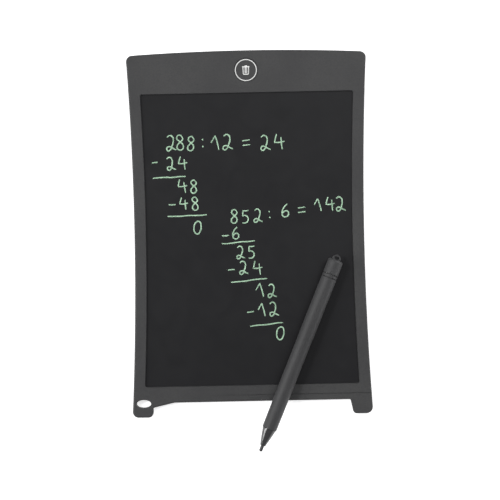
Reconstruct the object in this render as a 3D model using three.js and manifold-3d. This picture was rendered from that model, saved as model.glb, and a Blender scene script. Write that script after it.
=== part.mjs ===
// An LCD writing tablet with its stylus, in millimetres, +Z up.
// The tablet lies on its back. X runs across it, Y runs up to the erase button, and the
// origin is the middle of the flat back. The stylus lies across the screen, its nib past
// the bottom edge.

import * as THREE from "three";
import { mergeVertices } from "three/addons/utils/BufferGeometryUtils.js";
import Module from "manifold-3d";

// Outline of the two shells
const bodyLength = 221.2; // soles of the feet to the crown of the top edge
const bodyWidth = 145.8; // across the corners
const waistDepth = 3.35; // how far each long side is drawn in at its middle
const topCrown = 2.1; // rise of the top edge over its corners
const topCornerRadius = 3.8;
const footWidth = 12.7;
const footDrop = 8.7; // how far the feet reach past the bottom edge
const footSlant = 0.9; // half of the lean of the right foot's inner side
const leftFootRadius = 3.6; // outer corner of the sole
const leftFootInnerRadius = 3.0;
const rightFootRadius = 4.0;
const rightFootInnerRadius = 2.2;
const crotchRadius = 0.9; // where a foot's inner side meets the bottom edge
const haunchLength = 12.9; // the sloping edge beside the left foot, which clears the nose cone
const haunchDrop = 2.9;

// Thicknesses of the shells
const thickness = 5.0;
const edgeRadius = 1.0; // rounding of the outer edges
const faceThickness = 1.0;
const floorThickness = 1.1;
const sideWall = 1.6;
const partingHeight = 2.0; // where the front frame meets the back cover
const seamGap = 0.05;
const lipWall = 0.8; // tongue of the back cover inside the frame's side wall
const lipHeight = 0.6;
const lipGap = 0.1;
const bottomBar = 3.9; // solid edge between the feet

// Screen
const sideBezel = 6.85;
const bottomBezel = 9.6;
const windowRadius = 1.3;
const windowDraft = 0.3; // slope of the window's edge
const filmMargin = 2.1; // how far the films reach under the frame
const filmCorner = 1.5;
const filmThickness = 0.2;
const boardPanelThickness = 0.8; // stiff panel behind the films
const tapeThickness = 0.15;
const tapeWidth = 1.4;
const layerGap = 0.05;
const ribThickness = 1.2;
const ribSpacingX = 44;
const ribSpacingY = 36;

// Step across the bottom bezel, from its middle to the right side
const stepStart = -7;
const stepRun = 30; // length over which the step deepens
const stepDepth = 0.25;
const stepRise = 4.1; // above the bottom edge

// Lanyard hole in the left foot
const lanyardInset = 7.0; // its centre from the long side
const lanyardDrop = 0.4; // its centre below the bottom edge
const lanyardWidth = 8.8;
const lanyardHeight = 4.8;
const lanyardFlare = 0.5; // rounding of its rim

// Erase button and its switch
const buttonFromTop = 12.0;
const buttonRadius = 7.1;
const buttonGap = 0.15;
const buttonRounding = 0.25;
const pressTravel = 0.25;
const flangeWidth = 1.2;
const flangeThickness = 0.3;
const flangeGap = 0.1;
const stemRadius = 1.5;
const stemLength = 0.35;
const guideWall = 0.8;
const guideClearance = 0.4; // guide ring above the circuit board
const switchSide = 5.2;
const switchHeight = 0.45;
const plungerRadius = 1.2;
const plungerRise = 0.2;
const plungerDip = 0.04; // how deep the plunger sits in its bore at rest
const plungerGap = 0.1;

// Circuit board, its parts and its screws
const circuitThickness = 0.6;
const circuitHeight = 14;
const circuitLeft = -34.5;
const circuitRight = 24.5;
const circuitCorner = 1;
const screwHeadRadius = 1.7;
const screwHeadHeight = 0.45;
const screwShankRadius = 0.85;
const screwLength = 1.5; // below the board's top
const screwClearance = 0.15;
const bossWall = 1.4;
const pilotDepth = 0.5; // pilot hole's bottom above the back
const slotWidth = 0.5; // cross recess of a screw head
const slotDepth = 0.2;
const slotSpan = 0.75; // share of the head's width
const tailWidth = 7;
const tailThickness = 0.14;
const connectorLength = 9;
const connectorDepth = 2.8;
const connectorHeight = 1.0;
const connectorX = -21;
const connectorSlot = 0.3;
const connectorReach = 1.6; // how far the tail goes in

// Coin cell, its compartment, contacts and door
const cellRadius = 10;
const cellThickness = 1.6;
const cellCanRadius = 8.6; // raised minus side
const cellCanRise = 0.2;
const cellGap = 0.3;
const compartmentWall = 0.7;
const compartmentGap = 0.5; // between the circuit board and the compartment
const contactThickness = 0.15;
const contactWidth = 3.6;
const contactFoot = 3.4;
const contactGap = 0.25;
const contactSpread = 3.1; // each contact beside the middle line of the cell
const negativeReach = 9; // leaf over the cell
const doorThickness = 0.7;
const doorLip = 0.65; // flange that rests on the ledge
const doorGap = 0.15;
const doorTabWidth = 7;
const doorScrewReach = 14;
const doorScrewSink = 0.1;
const doorScrewLength = 2.9;

// Lock slider on the back, with its switch
const lockX = -20.5;
const lockTravel = 3;
const lockCapLength = 7;
const lockCapWidth = 4;
const lockCapThickness = 0.5;
const lockCapCorner = 0.8;
const lockGap = 0.2;
const lockPostLength = 2.6;
const lockPostWidth = 2.2;
const lockPostHeight = 0.4;
const lockGroovePitch = 1.1;
const lockGrooveWidth = 0.4;
const lockGrooveDepth = 0.15;
const leverLength = 1.2;
const leverWidth = 1.0;
const leverRise = 0.65; // above the slider's post
const lockSwitchWidth = 3.6;
const lockSwitchEnd = 2.2; // body beyond the lever's travel

// Stylus, along its own axis from the flat end of the cap
const bayClearance = 0.3; // stylus between the feet when it is put away
const capRadius = 4.65;
const capLength = 9.2;
const capRounding = 1.3;
const loopReach = 3.2;
const loopWidth = 5.8;
const loopThickness = 2.2;
const loopHoleWidth = 2.6;
const loopHoleHeight = 1.7;
const loopRim = 1.2; // beyond the hole
const spigotLength = 6;
const spigotGap = 0.3;
const jointGap = 0.3;
const barrelWall = 1.4;
const bandLength = 2.4; // ring between the cap and the long barrel
const grooveWidth = 0.4;
const grooveDepth = 0.3;
const gripStart = 51;
const gripStep = 0.08;
const barrelNoseRadius = 4.42;
const coneLength = 11;
const coneBaseRadius = 4.15;
const coneMiddleRadius = 3.0;
const coneTipRadius = 1.6;
const nibLength = 3.8;
const nibRadius = 1.05;
const nibShankRadius = 0.75;
const nibShankLength = 6;
const stylusHeading = THREE.MathUtils.degToRad(22.8); // turned from the long side
const nibX = 3.9;
const nibOverhang = 29.8; // past the bottom edge
const restGap = 0.3;
const socketDepth = 4.4; // nib socket in the left foot
const socketClearance = 0.25;

// Fineness of curves
const sideSteps = 12;
const crownSteps = 8;
const cornerSteps = 6;
const edgeSteps = 4;
const roundSegments = 40;
const smallSegments = 20;

// Levels from the front face down and from the back up
const faceUnderside = thickness - faceThickness;
const filmTop = faceUnderside - layerGap - tapeThickness - layerGap;
const baseFilmTop = filmTop - filmThickness - layerGap;
const panelTop = baseFilmTop - filmThickness - layerGap;
const ribTop = panelTop - boardPanelThickness - layerGap;
const flangeBottom = faceUnderside - flangeGap - flangeThickness;
const stemBottom = flangeBottom - stemLength;
const plungerTop = stemBottom - layerGap;
const switchTop = plungerTop - plungerRise;
const circuitTop = switchTop - switchHeight - layerGap;
const circuitBottom = circuitTop - circuitThickness;
const rootLevel = floorThickness - layerGap; // where ribs and bosses grow out of the floor
const cellBottom = floorThickness + layerGap;
const cellTop = cellBottom + cellThickness;

// Places in plan
const topEdge = bodyLength / 2;
const soleEdge = -bodyLength / 2;
const bottomEdge = soleEdge + footDrop;
const cavityBottom = bottomEdge + bottomBar;
const footInner = bodyWidth / 2 - footWidth;
const sideRadius = (topEdge ** 2 + waistDepth ** 2) / (2 * waistDepth);
const crownRadius = ((bodyWidth / 2) ** 2 + topCrown ** 2) / (2 * topCrown);
const compartmentRadius = cellRadius + cellGap;
const compartmentOuter = compartmentRadius + compartmentWall;
const cellX = circuitRight + compartmentGap + compartmentOuter;
const cellY = crownY(cellX) - sideWall - lipGap - compartmentOuter;
const filmTopEdge = cellY - cellRadius - cellGap;
const windowTop = filmTopEdge - filmMargin;
const windowBottom = bottomEdge + bottomBezel;
const filmBottomEdge = windowBottom - filmMargin;
const filmSide = sideX(0) - sideWall - lipGap - lipWall - cellGap;
const filmMiddle = (filmTopEdge + filmBottomEdge) / 2;
const filmLength = filmTopEdge - filmBottomEdge;
const buttonY = topEdge - buttonFromTop;
const flangeRadius = buttonRadius + flangeWidth;
const lanyardX = lanyardInset - bodyWidth / 2;
const lanyardY = bottomEdge - lanyardDrop;
const doorRadius = compartmentRadius + doorLip;
const doorScrewX = cellX + doorScrewReach;
const bossRadius = screwShankRadius + screwClearance + bossWall;
const lowScrewY = buttonY - circuitHeight / 2 + bossRadius;
const boardScrews = [
  { name: "board_screw_left", x: circuitLeft + bossRadius, y: buttonY },
  { name: "board_screw_right", x: flangeRadius + bossRadius + guideWall, y: lowScrewY },
];
const lockRestX = lockX - lockTravel / 2;
const leverBottom = lockGap / 2 + lockCapThickness + lockGap;
const leverTop = floorThickness + lockGap / 2 + leverRise - lockGap;

// Stylus lengths, tied to the bay between the feet
const stylusBody = 2 * footInner - bayClearance;
const coneStart = stylusBody - coneLength;
const stylusLength = stylusBody + nibLength;
const barrelBore = barrelNoseRadius - barrelWall;
const spigotRadius = barrelBore - spigotGap;
const bayY = bottomEdge - bayClearance - capRadius;

// Half width of the tablet at a height y, on the arc of its drawn-in side.
function sideX(y) {
  return bodyWidth / 2 - waistDepth + sideRadius - Math.sqrt(sideRadius ** 2 - y ** 2);
}

// Height of the crowned top edge at x.
function crownY(x) {
  return topEdge - crownRadius + Math.sqrt(crownRadius ** 2 - x ** 2);
}

const wasm = await Module();
wasm.setup();

// A closed geometry as a solid that can be joined and cut.
function solidOf(geometry) {
  const plain = new THREE.BufferGeometry();
  plain.setAttribute("position", geometry.getAttribute("position").clone());
  if (geometry.index) plain.setIndex(geometry.index.clone());
  const merged = mergeVertices(plain, 1e-4);
  return new wasm.Manifold(
    new wasm.Mesh({
      numProp: 3,
      vertProperties: new Float32Array(merged.attributes.position.array),
      triVerts: new Uint32Array(merged.index.array),
    }),
  );
}

function geometryOf(solid) {
  const mesh = solid.getMesh();
  const geometry = new THREE.BufferGeometry();
  geometry.setAttribute("position", new THREE.BufferAttribute(mesh.vertProperties, mesh.numProp));
  geometry.setIndex(new THREE.BufferAttribute(mesh.triVerts, 1));
  geometry.computeVertexNormals();
  return geometry;
}

// The first geometry with others added, then others cut away.
function carve(base, added, removed) {
  let solid = solidOf(base);
  for (const geometry of added) solid = solid.add(solidOf(geometry));
  for (const geometry of removed) solid = solid.subtract(solidOf(geometry));
  return geometryOf(solid);
}

// One closed ring of points round a polygon of corners { x, y, r } taken anticlockwise,
// drawn in by inset. Rings of the same corners have equal counts, so they can be skinned.
function ring(corners, inset = 0) {
  const count = corners.length;
  const directions = corners.map((corner, i) => {
    const next = corners[(i + 1) % count];
    return new THREE.Vector2(next.x - corner.x, next.y - corner.y).normalize();
  });
  const points = [];
  corners.forEach((corner, i) => {
    const before = directions[(i + count - 1) % count];
    const after = directions[i];
    const turn = Math.atan2(before.cross(after), before.dot(after));
    const mitre = inset / (1 + before.dot(after));
    const x = corner.x - (before.y + after.y) * mitre;
    const y = corner.y + (before.x + after.x) * mitre;
    if (!corner.r) {
      points.push(new THREE.Vector2(x, y));
      return;
    }
    const radius = corner.r - Math.sign(turn) * inset;
    const reach = radius * Math.tan(Math.abs(turn) / 2);
    const start = new THREE.Vector2(x - before.x * reach, y - before.y * reach);
    const side = Math.sign(turn) * radius;
    const centre = new THREE.Vector2(start.x - before.y * side, start.y + before.x * side);
    for (let k = 0; k <= cornerSteps; k++) {
      points.push(start.clone().rotateAround(centre, (turn * k) / cornerSteps));
    }
  });
  return points;
}

// A closed solid skinned through rings at rising heights, with flat ends.
function skin(levels) {
  const count = levels[0].points.length;
  const positions = levels.flatMap(({ points, z }) => points.flatMap((p) => [p.x, p.y, z]));
  const index = [];
  for (let level = 0; level < levels.length - 1; level++) {
    for (let i = 0; i < count; i++) {
      const a = level * count + i;
      const b = level * count + ((i + 1) % count);
      index.push(a, b, b + count, a, b + count, a + count);
    }
  }
  const top = (levels.length - 1) * count;
  THREE.ShapeUtils.triangulateShape(levels[0].points, []).forEach(([a, b, c]) => index.push(a, c, b));
  THREE.ShapeUtils.triangulateShape(levels.at(-1).points, []).forEach(([a, b, c]) => {
    index.push(top + a, top + b, top + c);
  });
  const geometry = new THREE.BufferGeometry();
  geometry.setAttribute("position", new THREE.Float32BufferAttribute(positions, 3));
  geometry.setIndex(index);
  return geometry;
}

// A straight slab over one ring of corners.
function slab(corners, bottom, top, inset = 0) {
  const points = ring(corners, inset);
  return skin([
    { points, z: bottom },
    { points, z: top },
  ]);
}

function box(x, y, sizeX, sizeY, bottom, top) {
  const geometry = new THREE.BoxGeometry(sizeX, sizeY, top - bottom);
  return geometry.translate(x, y, (bottom + top) / 2);
}

function disc(x, y, radius, bottom, top, segments = roundSegments) {
  const geometry = new THREE.CylinderGeometry(radius, radius, top - bottom, segments);
  return geometry.rotateX(Math.PI / 2).translate(x, y, (bottom + top) / 2);
}

// A solid turned about the upright line through x, y, from pairs of radius and height.
function turned(x, y, profile, segments = roundSegments) {
  const points = profile.map(([radius, z]) => new THREE.Vector2(radius, z));
  const geometry = new THREE.LatheGeometry(points, segments);
  return geometry.rotateX(Math.PI / 2).translate(x, y, 0);
}

// A strip of section points in Y and Z, as wide as sizeX about x.
function stripAlongX(x, sizeX, section) {
  const shape = new THREE.Shape(section.map(([y, z]) => new THREE.Vector2(y, z)));
  const geometry = new THREE.ExtrudeGeometry(shape, { depth: sizeX, bevelEnabled: false });
  // the shape's own x, y and depth become Y, Z and X
  const axes = new THREE.Matrix4().set(0, 0, 1, x - sizeX / 2, 1, 0, 0, 0, 0, 1, 0, 0, 0, 0, 0, 1);
  return geometry.applyMatrix4(axes);
}

// A strip of section points in X and Z, as wide as sizeY about y.
function stripAlongY(y, sizeY, section) {
  const shape = new THREE.Shape(section.map(([x, z]) => new THREE.Vector2(x, z)));
  const geometry = new THREE.ExtrudeGeometry(shape, { depth: sizeY, bevelEnabled: false });
  return geometry.rotateX(Math.PI / 2).translate(0, y + sizeY / 2, 0);
}

function rectangle(x, y, sizeX, sizeY, r) {
  const halfX = sizeX / 2;
  const halfY = sizeY / 2;
  return [
    { x: x - halfX, y: y - halfY, r },
    { x: x + halfX, y: y - halfY, r },
    { x: x + halfX, y: y + halfY, r },
    { x: x - halfX, y: y + halfY, r },
  ];
}

// The points between two ends of a curve, without the ends themselves.
function between(from, to, steps, place) {
  const corners = [];
  for (let i = 1; i < steps; i++) corners.push({ ...place(from + ((to - from) * i) / steps), r: 0 });
  return corners;
}

function sideCorners(side, from, to, inset) {
  return between(from, to, sideSteps, (y) => ({ x: side * (sideX(y) - inset), y }));
}

// The outer outline: feet, haunch, drawn-in sides and crowned top.
function shellCorners() {
  const cornerY = crownY(bodyWidth / 2);
  const corner = sideX(cornerY);
  return [
    { x: -bodyWidth / 2, y: soleEdge, r: leftFootRadius },
    { x: -footInner, y: soleEdge, r: leftFootInnerRadius },
    { x: -footInner, y: bottomEdge - haunchDrop, r: crotchRadius },
    { x: -footInner + haunchLength, y: bottomEdge, r: leftFootRadius },
    { x: footInner - footSlant, y: bottomEdge, r: crotchRadius },
    { x: footInner + footSlant, y: soleEdge, r: rightFootInnerRadius },
    { x: bodyWidth / 2, y: soleEdge, r: rightFootRadius },
    ...sideCorners(1, soleEdge, cornerY, 0),
    { x: corner, y: cornerY, r: topCornerRadius },
    ...between(corner, -corner, crownSteps, (x) => ({ x, y: crownY(x) })),
    { x: -corner, y: cornerY, r: topCornerRadius },
    ...sideCorners(-1, cornerY, soleEdge, 0),
  ];
}

// The hollow inside the shells, parallel to the sides and the top.
function cavityCorners() {
  const cornerY = crownY(bodyWidth / 2) - sideWall;
  const corner = sideX(cornerY) - sideWall;
  const low = sideX(cavityBottom) - sideWall;
  const r = topCornerRadius - sideWall;
  return [
    { x: -low, y: cavityBottom, r },
    { x: low, y: cavityBottom, r },
    ...sideCorners(1, cavityBottom, cornerY, sideWall),
    { x: corner, y: cornerY, r },
    ...between(corner, -corner, crownSteps, (x) => ({ x, y: crownY(x) - sideWall })),
    { x: -corner, y: cornerY, r },
    ...sideCorners(-1, cornerY, cavityBottom, sideWall),
  ];
}

// The window over the screen, parallel to the sides.
function windowCorners() {
  const high = sideX(windowTop) - sideBezel;
  const low = sideX(windowBottom) - sideBezel;
  return [
    { x: -low, y: windowBottom, r: windowRadius },
    { x: low, y: windowBottom, r: windowRadius },
    ...sideCorners(1, windowBottom, windowTop, sideBezel),
    { x: high, y: windowTop, r: windowRadius },
    { x: -high, y: windowTop, r: windowRadius },
    ...sideCorners(-1, windowTop, windowBottom, sideBezel),
  ];
}

// Levels of a quarter round: how far in and how far along at each step.
function quarterRound(radius) {
  const levels = [];
  for (let i = 0; i <= edgeSteps; i++) {
    const angle = (i / edgeSteps) * (Math.PI / 2);
    levels.push({ inset: radius * (1 - Math.cos(angle)), rise: radius * Math.sin(angle) });
  }
  return levels;
}

function ellipse(x, y, radiusX, radiusY) {
  const points = [];
  for (let i = 0; i < roundSegments; i++) {
    const angle = (2 * Math.PI * i) / roundSegments;
    points.push(new THREE.Vector2(x + radiusX * Math.cos(angle), y + radiusY * Math.sin(angle)));
  }
  return points;
}

// The lanyard hole, flared at both faces.
function lanyardCutter() {
  const oval = (grow) => ellipse(lanyardX, lanyardY, lanyardWidth / 2 + grow, lanyardHeight / 2 + grow);
  const flare = quarterRound(lanyardFlare);
  const rising = flare.map(({ inset, rise }) => ({
    points: oval(inset),
    z: thickness - lanyardFlare + rise,
  }));
  const falling = flare.map(({ inset, rise }) => ({ points: oval(inset), z: lanyardFlare - rise }));
  return skin([
    { points: oval(lanyardFlare), z: -1 },
    ...falling.reverse(),
    ...rising,
    { points: oval(lanyardFlare), z: thickness + 1 },
  ]);
}

// Sockets in the feet that hold the nib and the cap's loop when the stylus is put away.
function stylusSockets() {
  const middle = thickness / 2;
  const nibSocket = new THREE.CylinderGeometry(
    nibRadius + socketClearance,
    nibRadius + socketClearance,
    socketDepth,
    smallSegments,
  );
  nibSocket.rotateZ(Math.PI / 2).translate(-footInner - socketDepth / 2 + layerGap, bayY, middle);
  const slotLength = loopReach + socketClearance + 2 * footSlant;
  const loopSlot = box(
    footInner - footSlant + slotLength / 2,
    bayY,
    slotLength,
    loopWidth + 2 * socketClearance,
    middle - loopThickness / 2 - socketClearance,
    middle + loopThickness / 2 + socketClearance,
  );
  return [nibSocket, loopSlot];
}

// A part of the outline left lower, along the bottom bezel and over the right foot.
function stepCutter() {
  const low = thickness - stepDepth;
  const stepY = bottomEdge + stepRise;
  return stripAlongY((stepY + soleEdge - 1) / 2, stepY - soleEdge + 1, [
    [stepStart, thickness],
    [stepStart + stepRun, low],
    [bodyWidth, low],
    [bodyWidth, thickness + 1],
    [stepStart, thickness + 1],
  ]);
}

function part(name, geometry, material) {
  const mesh = new THREE.Mesh(geometry, material);
  mesh.name = name;
  return mesh;
}

function finish(color, roughness, metalness = 0) {
  return new THREE.MeshStandardMaterial({ color, roughness, metalness });
}

const shellPlastic = finish(0x4a4a4a, 0.6);
const stylusPlastic = finish(0x474747, 0.55);
const blackPlastic = finish(0x1c1c1d, 0.5);
const steel = finish(0xb8bbc0, 0.35, 1);
const springMetal = finish(0xc9b98a, 0.35, 1);
const solderMask = finish(0x1d5a36, 0.45);

function frontFrame() {
  const corners = shellCorners();
  const levels = [{ points: ring(corners), z: partingHeight }];
  for (const { inset, rise } of quarterRound(edgeRadius)) {
    levels.push({ points: ring(corners, inset), z: thickness - edgeRadius + rise });
  }
  const window = windowCorners();
  const windowCutter = skin([
    { points: ring(window, windowDraft), z: faceUnderside - 1 },
    { points: ring(window, windowDraft), z: faceUnderside },
    { points: ring(window), z: thickness },
    { points: ring(window), z: thickness + 1 },
  ]);
  const cavity = slab(cavityCorners(), partingHeight - 1, faceUnderside);
  const hollowed = carve(skin(levels), [], [cavity, windowCutter, stepCutter(), lanyardCutter()]);
  const guideInner = flangeRadius + buttonGap;
  const guideBottom = circuitTop + guideClearance;
  const guide = disc(0, buttonY, guideInner + guideWall, guideBottom, faceUnderside + layerGap);
  const geometry = carve(
    hollowed,
    [guide],
    [
      disc(0, buttonY, guideInner, guideBottom - 1, faceUnderside),
      disc(0, buttonY, buttonRadius + buttonGap, guideBottom - 1, thickness + 1),
      ...stylusSockets(),
    ],
  );
  return part("front_frame", geometry, shellPlastic);
}

// Ribs that carry the panel behind the films.
function panelRibs() {
  const ribs = [];
  const reachX = 2 * filmSide;
  for (let x = -ribSpacingX; x <= ribSpacingX; x += ribSpacingX) {
    ribs.push(box(x, filmMiddle, ribThickness, filmLength, rootLevel, ribTop));
  }
  const rows = Math.floor(filmLength / 2 / ribSpacingY);
  for (let row = -rows; row <= rows; row++) {
    ribs.push(box(0, filmMiddle + row * ribSpacingY, reachX, ribThickness, rootLevel, ribTop));
  }
  return ribs;
}

// Round door with a tab for its screw, grown by a gap where it is used as a recess.
function doorOutline(grow) {
  const r = doorRadius + grow;
  const halfTab = doorTabWidth / 2 + grow;
  const startAngle = Math.asin(halfTab / r);
  const points = [];
  for (let i = 0; i <= roundSegments; i++) {
    const angle = startAngle + ((2 * Math.PI - 2 * startAngle) * i) / roundSegments;
    points.push(new THREE.Vector2(cellX + r * Math.cos(angle), cellY + r * Math.sin(angle)));
  }
  for (let i = 0; i <= smallSegments; i++) {
    const angle = -Math.PI / 2 + (Math.PI * i) / smallSegments;
    const x = doorScrewX + halfTab * Math.cos(angle);
    points.push(new THREE.Vector2(x, cellY + halfTab * Math.sin(angle)));
  }
  return points;
}

function backCover() {
  const corners = shellCorners();
  const levels = quarterRound(edgeRadius)
    .reverse()
    .map(({ inset, rise }) => ({ points: ring(corners, inset), z: edgeRadius - rise }));
  levels.push({ points: ring(corners), z: partingHeight - seamGap });
  const cavity = slab(cavityCorners(), floorThickness, partingHeight + 1);
  const tray = carve(skin(levels), [], [cavity]);

  const lip = carve(
    slab(cavityCorners(), rootLevel, partingHeight + lipHeight, lipGap),
    [],
    [slab(cavityCorners(), floorThickness - 1, thickness, lipGap + lipWall)],
  );
  const lipFoot = carve(
    slab(cavityCorners(), rootLevel, partingHeight - seamGap, -lipGap),
    [],
    [slab(cavityCorners(), floorThickness - 1, thickness, lipGap + lipWall)],
  );
  const raised = [
    lip,
    lipFoot,
    ...panelRibs(),
    disc(cellX, cellY, compartmentOuter, rootLevel, ribTop),
    disc(doorScrewX, cellY, bossRadius, rootLevel, faceUnderside - lipGap),
    ...boardScrews.map(({ x, y }) => disc(x, y, bossRadius, rootLevel, circuitBottom - layerGap)),
  ];
  const doorRecess = doorOutline(doorGap);
  const pilotRadius = screwShankRadius + screwClearance;
  const lockSlot = lockTravel + 2 * lockGap;
  const lockRecess = rectangle(
    lockX,
    buttonY,
    lockCapLength + lockSlot,
    lockCapWidth + 2 * lockGap,
    lockCapCorner + lockGap,
  );
  const removed = [
    skin([
      { points: doorRecess, z: -1 },
      { points: doorRecess, z: doorThickness },
    ]),
    disc(cellX, cellY, compartmentRadius, -1, ribTop + 1),
    disc(doorScrewX, cellY, pilotRadius, -1, doorScrewSink + screwHeadHeight + doorScrewLength + lipGap),
    // notch that lets the plus contact reach the cell's edge
    box(
      cellX - compartmentRadius,
      cellY - contactSpread,
      2 * compartmentWall + 2 * cellGap,
      contactWidth + 2 * cellGap,
      cellBottom,
      ribTop + 1,
    ),
    slab(lockRecess, -1, lockCapThickness + lockGap),
    box(lockX, buttonY, lockPostLength + lockSlot, lockPostWidth + 2 * lockGap, -1, floorThickness + 1),
    lanyardCutter(),
    ...stylusSockets(),
    ...boardScrews.map(({ x, y }) => disc(x, y, pilotRadius, pilotDepth, thickness, smallSegments)),
  ];
  return part("back_cover", carve(tray, raised, removed), shellPlastic);
}

function filmSheet(name, top, sheetThickness, material) {
  const corners = rectangle(0, filmMiddle, 2 * filmSide, filmLength, filmCorner);
  return part(name, slab(corners, top - sheetThickness, top), material);
}

function screenStack() {
  const tapeCorners = rectangle(0, filmMiddle, 2 * filmSide, filmLength, filmCorner);
  const tapeTop = filmTop + layerGap + tapeThickness;
  const tape = carve(
    slab(tapeCorners, tapeTop - tapeThickness, tapeTop),
    [],
    [slab(tapeCorners, filmTop, thickness, tapeWidth)],
  );
  return [
    filmSheet("lcd_writing_film", filmTop, filmThickness, finish(0x2d2d2f, 0.35)),
    filmSheet("lcd_base_film", baseFilmTop, filmThickness, finish(0x101012, 0.5)),
    filmSheet("backing_panel", panelTop, boardPanelThickness, finish(0x2b2b2b, 0.7)),
    part("film_tape_frame", tape, blackPlastic),
  ];
}

function eraseButton() {
  const rounding = quarterRound(buttonRounding).map(({ inset, rise }) => [
    buttonRadius - inset,
    thickness - buttonRounding + rise,
  ]);
  const profile = [
    [0, stemBottom],
    [stemRadius, stemBottom],
    [stemRadius, flangeBottom],
    [flangeRadius, flangeBottom],
    [flangeRadius, flangeBottom + flangeThickness],
    [buttonRadius, flangeBottom + flangeThickness],
    ...rounding,
    [0, thickness],
  ];
  return part("erase_button", turned(0, buttonY, profile), shellPlastic);
}

function switchBody() {
  const bottom = switchTop - switchHeight;
  const body = box(0, buttonY, switchSide, switchSide, bottom, switchTop);
  const boreBottom = switchTop - plungerDip - pressTravel - layerGap;
  const bore = disc(0, buttonY, plungerRadius + plungerGap, boreBottom, thickness, smallSegments);
  return part("switch_body", carve(body, [], [bore]), blackPlastic);
}

function switchPlunger() {
  const geometry = disc(0, buttonY, plungerRadius, switchTop - plungerDip, plungerTop, smallSegments);
  return part("switch_plunger", geometry, finish(0xd8d4c8, 0.5));
}

function circuitBoard() {
  const middle = (circuitLeft + circuitRight) / 2;
  const corners = rectangle(middle, buttonY, circuitRight - circuitLeft, circuitHeight, circuitCorner);
  const holes = boardScrews.map(({ x, y }) =>
    disc(x, y, screwShankRadius + screwClearance, 0, thickness, smallSegments),
  );
  return part("circuit_board", carve(slab(corners, circuitBottom, circuitTop), [], holes), solderMask);
}

// A screw whose head lies at the top or, when it points up, at the bottom.
function screw(name, x, y, headBottom, headTop, shankEnd) {
  const headsUp = shankEnd < headBottom;
  const face = headsUp ? headTop : headBottom;
  const under = headsUp ? headBottom : headTop;
  const profile = [
    [0, shankEnd],
    [screwShankRadius, shankEnd],
    [screwShankRadius, under],
    [screwHeadRadius, under],
    [screwHeadRadius, face],
    [0, face],
  ];
  if (!headsUp) profile.reverse();
  const across = 2 * screwHeadRadius * slotSpan;
  const slotFrom = headsUp ? face - slotDepth : face - 1;
  const slotTo = headsUp ? face + 1 : face + slotDepth;
  const cross = [
    box(x, y, across, slotWidth, slotFrom, slotTo),
    box(x, y, slotWidth, across, slotFrom, slotTo),
  ];
  return part(name, carve(turned(x, y, profile, smallSegments), [], cross), steel);
}

function boardScrewParts() {
  const headBottom = circuitTop + layerGap;
  return boardScrews.map(({ name, x, y }) =>
    screw(name, x, y, headBottom, headBottom + screwHeadHeight, circuitTop - screwLength),
  );
}

// Small parts soldered on the board's top: name, place from the button, size and colour.
function boardComponents() {
  const components = [
    { name: "controller_chip", x: 12.5, y: 3.2, size: [4, 4, 0.75], color: 0x161617 },
    { name: "boost_inductor", x: 18.4, y: 4.6, size: [3, 3, 1.0], color: 0x3a3a3c },
    { name: "capacitor_input", x: 18.4, y: 0.6, size: [2, 1.25, 0.8], color: 0x9a7b52 },
    { name: "capacitor_boost", x: -12.4, y: 4.8, size: [2, 1.25, 0.8], color: 0x9a7b52 },
    { name: "capacitor_filter", x: -12.4, y: 1.8, size: [2, 1.25, 0.8], color: 0x9a7b52 },
    { name: "resistor_pull_up", x: -12.4, y: -1.6, size: [1.6, 0.8, 0.45], color: 0x1b1b1c },
    { name: "resistor_discharge", x: -12.4, y: -4.4, size: [1.6, 0.8, 0.45], color: 0x1b1b1c },
  ];
  const bottom = circuitTop + layerGap;
  return components.map(({ name, x, y, size, color }) => {
    const [length, width, height] = size;
    return part(name, box(x, buttonY + y, length, width, bottom, bottom + height), finish(color, 0.5));
  });
}

function flexConnector() {
  const bottom = circuitTop + layerGap;
  const near = buttonY - circuitHeight / 2;
  const middle = bottom + connectorHeight / 2;
  const body = box(
    connectorX,
    near + connectorDepth / 2,
    connectorLength,
    connectorDepth,
    bottom,
    bottom + connectorHeight,
  );
  const mouth = box(
    connectorX,
    near,
    tailWidth + 2 * cellGap,
    2 * (connectorReach + cellGap),
    middle - connectorSlot / 2,
    middle + connectorSlot / 2,
  );
  return part("flex_connector", carve(body, [], [mouth]), finish(0xd9d6cc, 0.5));
}

// The ribbon from the base film, stepping down to the connector's mouth.
function flexTail() {
  const filmLevel = baseFilmTop - filmThickness / 2;
  const mouthLevel = circuitTop + layerGap + connectorHeight / 2;
  const near = buttonY - circuitHeight / 2;
  const start = filmTopEdge + layerGap;
  const gap = near - start;
  const half = tailThickness / 2;
  const section = [
    [start, filmLevel - half],
    [start + gap / 3, filmLevel - half],
    [near - gap / 3, mouthLevel - half],
    [near + connectorReach, mouthLevel - half],
    [near + connectorReach, mouthLevel + half],
    [near - gap / 3, mouthLevel + half],
    [start + gap / 3, filmLevel + half],
    [start, filmLevel + half],
  ];
  return part("lcd_flex_tail", stripAlongX(connectorX, tailWidth, section), finish(0xb8803a, 0.4));
}

function coinCell() {
  // the raised can is the minus side and faces up to its contact
  const shoulder = cellTop - cellCanRise;
  const profile = [
    [0, cellBottom],
    [cellRadius, cellBottom],
    [cellRadius, shoulder],
    [cellCanRadius, shoulder],
    [cellCanRadius, cellTop],
    [0, cellTop],
  ];
  return part("coin_cell", turned(cellX, cellY, profile), steel);
}

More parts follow.
